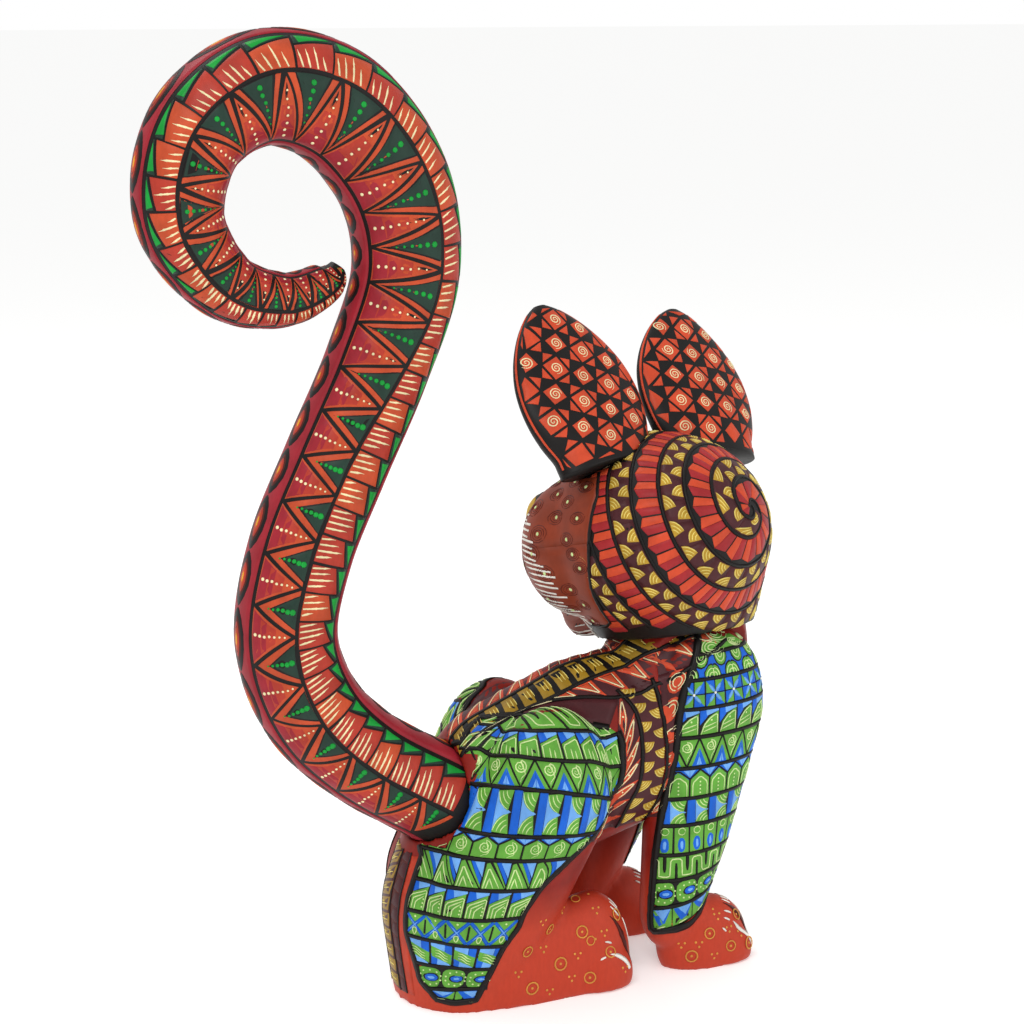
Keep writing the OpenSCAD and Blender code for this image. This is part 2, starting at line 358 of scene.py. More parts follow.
colours = {
    "black": "#171413", "crimson": "#9c2430", "red": "#b2392a", "orange": "#c24c2a", "brightRed": "#cf4a2a",
    "deepRed": "#a3282c", "maroon": "#4c2226", "darkGreen": "#22392f", "leafGreen": "#109a38",
    "cream": "#f2e6b4", "white": "#f4f2e8", "gold": "#b8922e", "paleGold": "#ecd878", "yellow": "#e8a626",
    "blue": "#1261d0", "lightBlue": "#70abee", "green": "#63a63c", "palest": "#d3eaa2",
    "footRed": "#bd3d25", "ringGold": "#dd9a44", "brown": "#541c16", "rust": "#8c3a22", "darkRust": "#5c1c0e",
    "spineGold": "#9c7a20", "pink": "#b8604e", "eye": "#cfa52c", "darkRed": "#8a1e14",
}
paints = {name: acrylicPaint(name[0].upper() + name[1:], value) for name, value in colours.items()}
# the same paint where it turns from orange-red at the feet to dark red above them
paints["bodyRed"] = acrylicPaint("FeetToBody", colours["darkRed"], low=colours["footRed"])

# Bare copal, sanded and waxed: pale wood with fine grain along its length
bareWood = bpy.data.materials.new("sandedCopalWood")
bareWood.use_nodes = True


def woodNodes(tree):
    tree.nodes.clear()
    place = addNode(tree, "ShaderNodeTexCoord").outputs["Object"]
    grain = addNode(tree, "ShaderNodeMapping", {"Scale": (1, 0.12, 0.12)}, {"Vector": place})
    lines = addNode(tree, "ShaderNodeTexNoise", {"Scale": 900.0, "Detail": 4.0}, {"Vector": grain.outputs[0]})
    ramp = addNode(tree, "ShaderNodeValToRGB", {}, {"Fac": lines.outputs["Fac"]})
    ramp.color_ramp.elements[0].color = linear("#b98e5a")
    ramp.color_ramp.elements[1].color = linear("#dcc096")
    bump = addNode(tree, "ShaderNodeBump", {"Strength": 0.3, "Distance": 0.05 * mm}, {"Height": lines.outputs["Fac"]})
    shader = addNode(tree, "ShaderNodeBsdfPrincipled", {"Roughness": 0.6},
                     {"Base Color": ramp.outputs[0], "Normal": bump.outputs[0]})
    addNode(tree, "ShaderNodeOutputMaterial", {}, {"Surface": shader.outputs[0]})


woodNodes(bareWood.node_tree)
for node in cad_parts.values():
    node.data.materials.clear()
    node.data.materials.append(bareWood)


def moved(x, y, z):
    return Matrix.Translation((x, y, z))


def turned(degrees, axis):
    return Matrix.Rotation(math.radians(degrees), 4, axis)


# the left hind foot and front leg stand this much further back than the right ones
setBack = {"hind": 22, "front": 17}
carving = {"neck": (0, -110, 141), "headTurn": 12, "headNod": 11, "headTilt": 3, "skull": (-0.5, 11.5, 42),
           "earSeat": (-11, 28, 28), "earSplay": 7, "earLean": 21, "legSeat": 20, "legStep": -87,
           "voxel": 1.25, "rounds": 16, "seamWidth": 3.0}
neckFrame = moved(*carving["neck"]) @ turned(carving["headTurn"], "Z") @ turned(carving["headNod"], "Y")
headFrame = neckFrame @ moved(*carving["skull"]) @ turned(carving["headTilt"], "X")


def earFrame(side):
    x, y, z = carving["earSeat"]
    return (headFrame @ moved(x, side * y, z) @ turned(-side * carving["earSplay"], "X")
            @ turned(carving["earLean"], "Y"))


def placed(matrix, points):
    m = np.array(matrix)
    return points @ m[:3, :3].T + m[:3, 3]


def form(at, size, matrix=None, detail=4):
    # a smooth egg shape, in mm
    bm = bmesh.new()
    bmesh.ops.create_icosphere(bm, subdivisions=detail, radius=1)
    points = np.array([v.co for v in bm.verts]) * np.array(size) + np.array(at)
    faces = [tuple(v.index for v in f.verts) for f in bm.faces]
    bm.free()
    return (points if matrix is None else placed(matrix, points)), faces


def carvedSkin(node, extras, nearSeam):
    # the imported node's own surface with small carved forms added, made one smooth skin
    bm = bmesh.new()
    bm.from_mesh(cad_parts[node].data)
    bmesh.ops.remove_doubles(bm, verts=bm.verts, dist=2e-6)
    for points, faces in extras:
        made = [bm.verts.new(tuple(p * mm)) for p in points]
        for f in faces:
            bm.faces.new([made[i] for i in f])
    mesh = bpy.data.meshes.new(node + "Skin")
    bm.to_mesh(mesh)
    bm.free()
    holder = linked(node + "Skin", mesh)
    remesh = holder.modifiers.new("Remesh", "REMESH")
    remesh.mode, remesh.voxel_size = "VOXEL", carving["voxel"] * mm
    mesh = baked(holder, node + "Skin")
    # smooth the tool marks away, but keep the joints between the pieces crisp
    points = np.array([v.co for v in mesh.vertices])
    soft = np.clip(nearSeam(points / mm) / carving["seamWidth"], 0, 1)
    edges = np.array([e.vertices for e in mesh.edges])
    count = np.bincount(edges.ravel(), minlength=len(points))[:, None]
    for turn in range(carving["rounds"]):
        pull = 0.6 if turn % 2 == 0 else -0.3
        total = np.zeros_like(points)
        for k in range(3):
            total[:, k] = (np.bincount(edges[:, 0], points[edges[:, 1], k], len(points))
                           + np.bincount(edges[:, 1], points[edges[:, 0], k], len(points)))
        points = points + (total / count - points) * pull * soft[:, None]
    mesh.vertices.foreach_set("co", points.astype(np.float32).ravel())
    mesh.update()
    return mesh


def treeOf(mesh):
    return BVHTree.FromPolygons([tuple(v.co / mm) for v in mesh.vertices], [tuple(p.vertices) for p in mesh.polygons])


# how far outside the wood the rays start that find its surface
rayStart = {"head": 110, "haunch": 62, "leg": 60, "side": 110.0, "toes": 38}


def shot(surface, start, way):
    # where rays from outside meet a skin; a ray that misses takes its closest point
    points, out = np.empty_like(start), np.empty_like(start)
    for i, (s, w) in enumerate(zip(start, way)):
        hit, normal, _, _ = surface.ray_cast(Vector(s), Vector(w))
        if hit is None:
            hit, normal, _, _ = surface.find_nearest(Vector(s + w * 60))
        points[i], out[i] = hit, normal
    return points, out


# ---- tail ----

tail = {
    "seat": (-4, 80), "rise": 34, "rootRadius": 20, "rootLength": 14, "sides": 96,
    # back, up, half depth, half width
    "line": [[36, 106.5, 19.5, 18.5], [57, 129, 20, 18.5], [66.5, 158, 20, 18.5], [60, 191, 20.5, 19],
             [45, 224, 20.5, 19], [27, 261, 20.5, 19], [14.5, 297, 21, 19.5], [19.5, 331, 22, 20],
             [42, 359, 22.4, 20], [72, 367, 21, 19.5], [98, 351, 18.8, 18], [105, 321, 16.5, 16],
             [89, 296, 13, 13.5], [66, 288.5, 10.2, 11], [48, 294, 7.6, 8.5], [42.6, 300, 3, 3.5]],
}


def smoothLine(points, steps):
    found = []
    points = [np.array(p, float) for p in points]
    for i in range(len(points) - 1):
        a, b = points[max(i - 1, 0)], points[i]
        c, d = points[i + 1], points[min(i + 2, len(points) - 1)]
        for t in np.arange(steps) / steps:
            square, cube = 2 * a - 5 * b + 4 * c - d, 3 * b - a - 3 * c + d
            found.append((2 * b + (c - a) * t + square * t * t + cube * t ** 3) / 2)
    return np.array(found + [points[-1]])


def tailMiddle():
    way = np.array([math.cos(math.radians(tail["rise"])), math.sin(math.radians(tail["rise"]))])
    seat, r = np.array(tail["seat"], float), tail["rootRadius"]
    root = [np.concatenate([seat + h * way, [r, r]]) for h in (0, tail["rootLength"])]
    line = np.vstack([[root[0]], smoothLine([root[1]] + tail["line"], 16)])
    length = np.concatenate([[0], np.cumsum(np.linalg.norm(np.diff(line[:, :2], axis=0), axis=1))])
    return line, length


tailLine, tailLength = tailMiddle()


def tailAt(s):
    row = np.column_stack([np.interp(s, tailLength, tailLine[:, k]) for k in range(4)])
    a, b = np.clip(s - 2.5, 0, tailLength[-1]), np.clip(s + 2.5, 0, tailLength[-1])
    way = np.column_stack([np.interp(b, tailLength, tailLine[:, k]) - np.interp(a, tailLength, tailLine[:, k])
                           for k in range(2)])
    way /= np.linalg.norm(way, axis=1)[:, None]
    return row, way


def tailCanvas(side):
    # mm along the tail and degrees round it, from its outer line to its inner one. side -1 is the cat's right
    def at(s, angle):
        row, way = tailAt(np.clip(s, 0.01, tailLength[-1] - 0.01))
        a = np.radians(angle)
        outer = np.column_stack([np.zeros(len(s)), -way[:, 1], way[:, 0]])
        middle = np.column_stack([np.zeros(len(s)), row[:, 0], row[:, 1]])
        sideways = np.zeros((len(s), 3))
        sideways[:, 0] = side
        points = middle + outer * (row[:, 2] * np.cos(a))[:, None] + sideways * (row[:, 3] * np.sin(a))[:, None]
        out = outer * (np.cos(a) / row[:, 2])[:, None] + sideways * (np.sin(a) / row[:, 3])[:, None]
        return points, out / np.linalg.norm(out, axis=1)[:, None]
    return at


def tailTree(material):
    # sweeps a ring along the middle line, as thick as each point says, and flattens it sideways
    tree, entry, sockets = geometryTree("tailSweep", {"Sides": "Int"})
    curve = addNode(tree, "GeometryNodeMeshToCurve", {}, {"Mesh": entry.outputs["Geometry"]})
    depth = attribute(tree, "depth")
    thick = addNode(tree, "GeometryNodeSetCurveRadius", {}, {"Curve": curve.outputs[0], "Radius": depth})
    loop = addNode(tree, "GeometryNodeCurvePrimitiveCircle", {"Radius": 1.0}, {"Resolution": entry.outputs["Sides"]})
    sweep = addNode(tree, "GeometryNodeCurveToMesh", {"Fill Caps": True},
                    {"Curve": thick.outputs[0], "Profile Curve": loop.outputs[0]})
    if "Scale" in sweep.inputs:
        tree.links.new(depth, sweep.inputs["Scale"])
    where = addNode(tree, "GeometryNodeInputPosition")
    factors = addNode(tree, "ShaderNodeCombineXYZ", {"Y": 1.0, "Z": 1.0}, {"X": attribute(tree, "ratio")})
    narrowed = addNode(tree, "ShaderNodeVectorMath", {"operation": "MULTIPLY"},
                       {0: where.outputs[0], 1: factors.outputs[0]})
    flat = addNode(tree, "GeometryNodeSetPosition", {},
                   {"Geometry": sweep.outputs[0], "Position": narrowed.outputs[0]})
    coated(tree, flat.outputs[0], material)
    return tree, sockets["Sides"]


def tailSkin(material):
    line = tailLine
    mesh = bpy.data.meshes.new("tailLine")
    mesh.from_pydata([(0, p[0] * mm, p[1] * mm) for p in line], [(i, i + 1) for i in range(len(line) - 1)], [])
    written(mesh, "depth", line[:, 2] * mm)
    written(mesh, "ratio", line[:, 3] / line[:, 2])
    holder = linked("tailSkin", mesh)
    tree, sides = tailTree(material)
    nodes = holder.modifiers.new("Sweep", "NODES")
    nodes.node_group = tree
    nodes[sides] = tail["sides"]
    return baked(holder, "tailSkin")


tailPiece = addPiece("tailSkin", tailSkin(paints["black"]), paints["black"], "tail")
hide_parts("tail")
print("tail skin made")


# ---- ears ----

ear = {
    "height": {1: 74, -1: 70}, "width": 30, "thickness": 10.5, "sides": 72,
    # part of the height, of the width and of the thickness, and the dish of its front
    "line": [[0, 0.81, 1.0, 0.1], [0.09, 0.81, 1.0, 0.1], [0.2, 0.92, 1.0, 0.6], [0.32, 0.99, 0.93, 1.1],
             [0.44, 1, 0.84, 1.25], [0.56, 0.95, 0.76, 1.25], [0.68, 0.83, 0.66, 1.1], [0.79, 0.66, 0.55, 0.9],
             [0.88, 0.47, 0.44, 0.5], [0.95, 0.27, 0.31, 0.2], [0.99, 0.1, 0.16, 0]],
}
earLine = smoothLine(ear["line"], 5)
earLine[:6, 1] = 0.81


def earRow(z, side):
    t = np.clip(z / ear["height"][side], 0, 0.99)
    return [np.interp(t, earLine[:, 0], earLine[:, k]) * f for k,
            f in ((1, ear["width"]), (2, ear["thickness"]), (3, 1.0))]


def earMesh(side):
    a = np.linspace(0, 2 * math.pi, ear["sides"], endpoint=False)
    rows = []
    for part, w, t, dish in earLine:
        front = np.where(np.cos(a) > 0, 1 - dish * np.cos(a) ** 2, 1)
        rows.append(np.column_stack([t * ear["thickness"] * np.cos(a) * front, w * ear["width"] * np.sin(a),
                                     np.full(len(a), part * ear["height"][side])]))
    n, count = len(a), len(rows)
    points = np.vstack(rows + [[[0, 0, 0]], [[0, 0, ear["height"][side] * 0.996]]])
    faces = [(r * n + i, r * n + (i + 1) % n, (r + 1) * n + (i + 1) % n, (r + 1) * n + i)
             for r in range(count - 1) for i in range(n)]
    faces += [((i + 1) % n, i, count * n) for i in range(n)]
    faces += [((count - 1) * n + i, (count - 1) * n + (i + 1) % n, count * n + 1) for i in range(n)]
    return meshOf("earSkin", placed(earFrame(side), points), faces)


def earCanvas(side, face):
    # mm sideways and mm up the ear. face is -1 for its round back and 1 for its dished front
    matrix = earFrame(side)

    def local(y, z):
        w, t, dish = earRow(z, side)
        s = np.clip(y / w, -0.995, 0.995)
        c = np.sqrt(1 - s * s)
        return np.column_stack([-t * c if face < 0 else t * c * (1 - dish * c * c), y, z])

    def at(y, z):
        w = earRow(z, side)[0]
        y = np.clip(y, -w * 0.99, w * 0.99)
        p = local(y, z)
        out = np.cross(local(y + 0.4, z) - local(y - 0.4, z), local(y, z + 0.4) - local(y, z - 0.4))
        out /= np.linalg.norm(out, axis=1)[:, None] + 1e-9
        out *= np.sign(out[:, :1]) * face
        m = np.array(matrix)[:3, :3]
        return placed(matrix, p), out @ m.T
    return at


for side, word in ((1, "left"), (-1, "right")):
    piece = addPiece("earSkin" + word.capitalize(), earMesh(side), paints["black"], "ear_" + word)
    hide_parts("ear_" + word)
print("ear skins made")

# ---- torso, head and front legs ----

def tailSeam(points):
    # the rim of the hole that the tail's root stands in, which is as deep as the rump is there
    way = np.array([0, math.cos(math.radians(tail["rise"])), math.sin(math.radians(tail["rise"]))])
    w = points - np.array([0, *tail["seat"]])
    up = w @ way
    return np.where(up > -2, np.abs(np.linalg.norm(w - up[:, None] * way, axis=1) - tail["rootRadius"]), 99)


def neckSeam(points):
    m = np.array(neckFrame)
    return np.abs((points - m[:3, 3]) @ m[:3, 2])


def highNeckSeam(points):
    return np.where(points[:, 2] > 120, neckSeam(points), 99)


def earSeam(points):
    found = np.full(len(points), 99.0)
    for side in (1, -1):
        m = np.array(earFrame(side))
        w = (points - m[:3, 3]) @ m[:3, :3]
        row = earRow(w[:, 2], side)
        ratio = np.hypot(w[:, 0] / row[1], w[:, 1] / row[0])
        found = np.where(w[:, 2] > -1.5, np.minimum(found, np.abs(ratio - 1) * row[1]), found)
    return found


def legSeam(points):
    seat, step = np.abs(np.abs(points[:, 0]) - carving["legSeat"]), carving["legStep"]
    return np.minimum(np.where(points[:, 1] < step + 1, seat, 99), np.abs(points[:, 1] - step))


def floorSeam(points):
    return points[:, 2] + 0.5


# three rounded toes on each foot
toes = {"hind": {"at": (20, -63), "spread": 11.5, "size": (6.2, 13, 13), "up": 6},
        "front": {"at": (20, -123), "spread": 9.5, "size": (5.6, 12, 11), "up": 5}}


def toeForms(kind, side, shiftBack, shiftOut):
    t = toes[kind]
    found = []
    for off in (-1, 0, 1):
        points, faces = form((side * (t["at"][0] + shiftOut) + off * t["spread"] * 0.82,
                              t["at"][1] + shiftBack + abs(off) * 3.5, t["up"]), t["size"], detail=3)
        points[:, 2] = np.maximum(points[:, 2], 0.2)
        found.append((points, faces))
    return found


torsoExtras = toeForms("hind", -1, 0, 0) + toeForms("hind", 1, setBack["hind"], 0)
torsoMesh = carvedSkin("torso", torsoExtras,
                       lambda p: np.minimum.reduce([tailSeam(p), highNeckSeam(p), legSeam(p), floorSeam(p)]))
print("torso skin made", len(torsoMesh.vertices))

faceExtras = [form((46, 0, -8), (9, 8, 7), headFrame),              # bridge of the nose
              form((52, 0, -11), (5, 7.5, 5), headFrame),           # nose
              form((47, 7.5, -19), (10, 10, 8.5), headFrame), form((47, -7.5, -19), (10, 10, 8.5), headFrame),
              form((36, 19, 9), (11, 13, 11), headFrame), form((36, -19, 9), (11, 13, 11), headFrame)]
headMesh = carvedSkin("head", faceExtras, lambda p: np.minimum(neckSeam(p), earSeam(p)))
print("head skin made", len(headMesh.vertices))

legMeshes = {}
for side, word, back in ((1, "left", setBack["front"]), (-1, "right", 0)):
    legMeshes[side] = carvedSkin("front_leg_" + word, toeForms("front", side, back, back / 3),
                                 lambda p: np.minimum.reduce([highNeckSeam(p), legSeam(p) + 0.3, floorSeam(p)]))
torsoPiece = addPiece("torsoSkin", torsoMesh, paints["bodyRed"], "cat")
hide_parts("torso")
headPiece = addPiece("headSkin", headMesh, paints["black"], "cat")
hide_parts("head")
for side, word in ((1, "left"), (-1, "right")):
    piece = addPiece("frontLegSkin" + word.capitalize(), legMeshes[side], paints["bodyRed"], "cat")
    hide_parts("front_leg_" + word)
surfaces = {"torso": treeOf(torsoMesh), "head": treeOf(headMesh),
            "leg1": treeOf(legMeshes[1]), "leg-1": treeOf(legMeshes[-1])}
for side in (1, -1):
    # the flank and the leg beside it as one skin, for bands that cross from one to the other
    both = [[], []]
    for mesh in (torsoMesh, legMeshes[side]):
        first = len(both[0])
        both[0] += [tuple(v.co / mm) for v in mesh.vertices]
        both[1] += [tuple(first + i for i in p.vertices) for p in mesh.polygons]
    surfaces["flank%d" % side] = BVHTree.FromPolygons(*both)
print("skins ready for paint")

# ---- tail paint ----

tailPaint = {
    "blockPart": 0.56, "toothPart": 0.90, "ovalPart": 0.95, "gap": 0.45, "rim": 0.6,
    # degrees round the tail where its bands meet, on its straight part and on its curl
    "outer": (44, 26), "middle": (99, 72), "inner": (152, 152),
    # mm along the tail over which the bands turn outwards
    "curl": (175.0, 260.0),
}


def bandEdge(name, s):
    straight, curled = tailPaint[name]
    first, last = tailPaint["curl"]
    t = np.clip((s - first) / (last - first), 0, 1)
    return straight + (curled - straight) * t * t * (3 - 2 * t)


def stations(first, last, part):
    # places along the tail whose spacing follows its thickness
    found = [first]
    while found[-1] < last:
        found.append(found[-1] + part * float(tailAt(np.array([found[-1]]))[0][0, 2]))
    return found


def tailBand(side, low, high):
    # across runs from 0 at one band edge to 1 at another
    tube = tailCanvas(side)

    def at(s, across):
        a, b = low(s), high(s)
        return tube(s, a + (b - a) * across)
    return at


tailEnd = tailLength[-1] - 3.0
for side in (-1, 1):
    blocks = tailBand(side, lambda s: bandEdge("middle", s), lambda s: bandEdge("outer", s))
    places = stations(9.0, tailEnd, tailPaint["blockPart"])
    for a, b in zip(places[:-1], places[1:]):
        inside, w, h = cell(blocks, a, b, 0, 1)
        g = tailPaint["gap"]
        slim = h < 11
        red = "red" if rng.random() < 0.55 else "orange"
        top = (0.93, 0.80) if slim else (0.83, 0.60)
        fill(("tail", red), inside, [(g, 0.9), (w - g, 0.9), (w - g, h * top[1]), (g, h * top[0])])
        fill(("tail", "darkGreen"), inside,
             [(g, h * top[0] + 0.9), (w - g, h * top[1] + 0.9), (w - g, h - 1.0), (g, h - 1.0)],
             lift=0.2)
        if not slim:
            fill(("tail", "leafGreen"), inside, [(w * 0.10, h - 1.1), (w * 0.92, h - 1.1), (w * 0.86, h * 0.70)],
                 lift=0.3, step=3)
        marks = [(0.2, 0.42), (0.42, 0.62), (0.63, 0.52),
                 (0.82, 0.40)] if w > 9 else [(0.26, 0.5), (0.5, 0.62), (0.75, 0.5)]
        for x, reach in marks:
            reach = h * (reach + rng.normal(0, 0.05)) * (1.15 if slim else 1)
            lean = 0.05 * w
            stroke(("tail", "cream"), inside, [(x * w, 1.2), (x * w + lean, 0.5 * reach), (x * w + 2 * lean, reach)],
                   0.95 if w > 8 else 0.7, taper=(0.8, 0.15), step=3)

    teeth = tailBand(side, lambda s: bandEdge("middle", s), lambda s: bandEdge("inner", s))
    places = stations(7.0, tailEnd, tailPaint["toothPart"])
    for k, (a, b) in enumerate(zip(places[:-1], places[1:])):
        inside, w, h = cell(teeth, a, b, 0, 1)
        e = tailPaint["rim"]
        # a dark green tooth with an orange border stripe, inside the black zigzag
        fill(("tail", "orange"), inside, [(e + 0.3, e), (w - e - 0.3, e), (w / 2, h - 2.2)], lift=0.2)
        s = 2.3 if w > 12 else 1.5
        fill(("tail", "black"), inside, [(s + 0.1, e - 0.2), (w - s - 0.1, e - 0.2), (w / 2, h - 2.2 - 1.9 * s)],
             lift=0.26)
        fill(("tail", "darkGreen"), inside, [(s + 0.7, e), (w - s - 0.7, e), (w / 2, h - 2.8 - 2.2 * s)], lift=0.32)
        for i in range(6):
            t = i / 5
            r = (1.25 - 0.85 * t) * min(1, w / 17)
            spot(("tail", "leafGreen"), inside, (w / 2 + rng.normal(0, 0.12), h * (0.13 + 0.50 * t)), r, 0.42)
        # the red tooth that hangs between this one and the next
        if b < tailEnd:
            c = places[min(k + 2, len(places) - 1)]
            inside, w, h = cell(teeth, (a + b) / 2, (b + c) / 2 if c > b else b + (b - a) / 2, 0, 1)
            fill(("tail", "orange"), inside, [(w * 0.5, 1.8), (w - 0.8, h - 0.6), (0.8, h - 0.6)])
            fill(("tail", "crimson"), inside,
                 [(w * 0.26, h * 0.62), (w * 0.74, h * 0.62), (w - 1.2, h - 0.8), (1.2, h - 0.8)],
                 lift=0.27, step=4)
            fill(("tail", "red"), inside,
                 [(w * 0.36, h * 0.42), (w * 0.64, h * 0.42), (w * 0.80, h * 0.76), (w * 0.20, h * 0.76)],
                 lift=0.29, step=4)
            n = 7 if w > 12 else 5
            for i in range(n):
                t = i / (n - 1)
                spot(("tail", "cream"), inside, (w / 2 + rng.normal(0, 0.15), h * (0.24 + 0.64 * t)),
                     (0.42 + 0.30 * t) * min(1, w / 15 + 0.2), 0.42)

# crimson strips with black pointed ovals along the outer and the inner line
tube = tailCanvas(-1)


def strip(middleAngle, halfAngle):
    def at(s, across):
        return tube(s, middleAngle + across * halfAngle(s))
    return at


for middle, halfAngle in ((0, lambda s: bandEdge("outer", s) - 3.5),
                          (180, lambda s: 180 - bandEdge("inner", s) - 3.5)):
    band = strip(middle, halfAngle)
    patch(("tail", "crimson"), band, np.arange(7.0, tailEnd - 3, 2.4), np.linspace(-1, 1, 9), 0.18)
    places = stations(8.0, tailEnd - 4, tailPaint["ovalPart"])
    for a, b in zip(places[:-1], places[1:]):
        inside, w, h = cell(band, a, b, -1, 1)
        for name, length, wide, lift in (("black", 0.50, 0.40, 0.28),
                                         ("brown", 0.36, 0.27, 0.34), ("red", 0.28, 0.19, 0.38),
                                         ("orange", 0.19, 0.12, 0.42), ("yellow", 0.11, 0.06, 0.46)):
            wide = min(wide * h, 5.2 * wide / 0.4)
            t = np.linspace(0, 2 * math.pi, 14, endpoint=False)
            pointed = np.column_stack([w / 2 + length * w * np.cos(t),
                                       h / 2 + wide * np.sin(t) * np.abs(np.sin(t)) ** 0.45])
            fill(("tail", name), inside, pointed, lift=lift, step=3, jitter=0.05)
print("tail painted")

# ---- ear paint ----

# a chequer of black and orange-red squares, each with a tilted square and a spiral in it
earPaint = {"square": 12.2, "inBlack": 4.7, "inRed": 5.5, "border": 1.3, "turn": {1: 29, -1: 5}}


def clippedToEar(points, side):
    # the part of an outline that lies on the ear
    points = np.array(points, float)
    points[:, 1] = np.clip(points[:, 1], 2.2, ear["height"][side] - 3.0)
    w = np.maximum(earRow(points[:, 1], side)[0] - earPaint["border"], 0.5)
    points[:, 0] = np.clip(points[:, 0], -w, w)
    return points


def area(points):
    x, y = points[:, 0], points[:, 1]
    return abs(np.dot(x, np.roll(y, 1)) - np.dot(y, np.roll(x, 1))) / 2


for side, word in ((1, "earLeft"), (-1, "earRight")):
    back = earCanvas(side, -1)
    size, turn = earPaint["square"], math.radians(earPaint["turn"][side])
    ax, ay = np.array([math.cos(turn), math.sin(turn)]), np.array([-math.sin(turn), math.cos(turn)])
    for i in range(-5, 8):
        for j in range(-2, 9):
            middle = ax * (i - 0.5) * size + ay * (j - 0.3) * size
            boxed = (i + j) % 2 == 0
            half = earPaint["inRed"] if boxed else earPaint["inBlack"]
            diamond = clippedToEar([middle + ax * half, middle + ay * half, middle - ax * half, middle - ay * half],
                                   side)
            if area(diamond) > 6:
                fill((word, "brightRed"), back, diamond)
                w = float(earRow(np.array([max(middle[1], 0)]), side)[0][0])
                if abs(middle[0]) < w - 3.2 and 9 < middle[1] < ear["height"][side] - 7:
                    stroke((word, "cream"), back, spiral(*middle, 2.7, 2.2, rng.uniform(0, 6), 1, 0.1, 30), 0.6,
                           taper=(0.7, 0.4), step=0.7)
            if boxed:
                for p in (1, -1):
                    for q in (1, -1):
                        corner = middle + (ax * p + ay * q) * size * 0.475
                        wedge = clippedToEar([corner, corner - ax * p * size * 0.36, corner - ay * q * size * 0.36],
                                             side)
                        if area(wedge) > 2.0:
                            fill((word, "brightRed"), back, wedge, step=3)
    # the edge of the ear is a red line
    z = np.linspace(3, ear["height"][side] - 4, 40)
    for s in (1, -1):
        stroke((word, "brightRed"), back, np.column_stack([s * earRow(z, side)[0] * 0.985, z]), 1.0, taper=(1, 0.6))
    # the dished front: dark red, with strokes that rise like fur
    front = earCanvas(side, 1)

    def dish(z, across, front=front, side=side):
        return front(across * (earRow(z, side)[0] * 0.86 - 0.5), z)
    patch((word, "darkRed"), dish, np.linspace(11, ear["height"][side] - 5, 28), np.linspace(-1, 1, 13), 0.12)
    for k in range(-3, 4):
        for z0 in np.arange(12, 58, 8.5):
            c = k / 3.7
            top = min(z0 + 9, ear["height"][side] - 7)
            path = [(z0 + (top - z0) * t, c * (1 - 0.1 * t)) for t in np.linspace(0, 1, 5)]
            stroke((word, "pink" if (k + int(z0)) % 2 else "orange"), dish, path, 0.9, taper=(0.3, 0.1), step=0.4)
    for s in (1, -1):
        for z0 in np.arange(13, 64, 4.6):
            spot((word, "ringGold"), dish, (z0, s * 0.93), 0.7)
print("ears painted")

# ---- head paint ----

headPaint = {"middle": (-50.9, -9.6, 8.3), "around": (-4, 0, 0),
             "reach": 50.0, "growth": 23.0, "first": 7.0, "goldBand": 11.0,
             "petalWidth": 7.9, "fanWidth": 10.2, "collar": -34}


def dome(surface, matrix, around, middle, reach):
    # degrees round a middle point and mm out from it, over a rounded form. Angles run from one side downwards
    m = np.array(matrix)
    centre = placed(matrix, np.array([around], float))[0]
    pole = placed(matrix, np.array([middle], float))[0] - centre
    pole /= np.linalg.norm(pole)
    up = m[:3, 2].copy()
    up -= pole * (up @ pole)
    up /= np.linalg.norm(up)
    sideways = np.cross(up, pole)

    def at(angle, out):
        a, b = np.radians(angle), out / reach
        way = (pole * np.cos(b)[:, None]
               + (sideways * np.cos(a)[:, None] - up * np.sin(a)[:, None]) * np.sin(b)[:, None])
        return shot(surface, centre + way * rayStart["head"], -way)
    return at


backOfHead = dome(surfaces["head"], headFrame, headPaint["around"], headPaint["middle"], headPaint["reach"])
headInverse = np.linalg.inv(np.array(headFrame))


def wound(angle, out):
    # the spiral winds from the left of the back of the head, over the top, to the right
    return backOfHead(np.asarray(angle, float) + 180, out)


def inHead(points):
    return points @ headInverse[:3, :3].T + headInverse[:3, 3]


def faceEdge(z):
    # how far forward the painted face begins, by height in the head
    return np.interp(z, [-42, -31, -20, -8, 4, 18, 44], [-4, -6.5, -9.5, -14, -16, -17, -3])


def placeInHead(canvas, angle, out):
    return inHead(canvas(np.array([float(angle)]), np.array([float(out)]))[0])[0]


def behindFace(angle, out):
    p = placeInHead(wound, angle, out)
    return p[0] < faceEdge(p[2]) + 2.5 and p[2] > headPaint["collar"] - 5


def armAt(angle):
    # mm out from the middle to the inner line of the gold band, which curls in to the middle itself
    angle = np.asarray(angle, float)
    inward = headPaint["first"] * np.sqrt(np.clip(angle + 180, 0, None) / 180)
    return np.where(angle < 0, inward, headPaint["first"] + headPaint["growth"] * angle / 360)


def petalFoot(angle):
    return np.maximum(headPaint["first"] + headPaint["goldBand"]
                      + headPaint["growth"] * np.asarray(angle, float) / 360, 0.3)


def petalTip(angle):
    return armAt(np.asarray(angle, float) + 360)


def spiralBand(low, high):
    def at(angle, across):
        return wound(angle, low(angle) + (high(angle) - low(angle)) * across)
    return at


goldBand = spiralBand(armAt, petalFoot)
petalBand = spiralBand(petalFoot, petalTip)


def angles(first, last, width, offset):
    found = [first]
    while found[-1] < last:
        middle = max(headPaint["first"] + headPaint["growth"] * found[-1] / 360 + offset, 5.5)
        found.append(found[-1]
                     + math.degrees(width / (headPaint["reach"] * math.sin(min(middle / headPaint["reach"], 1.5)))))
    return found


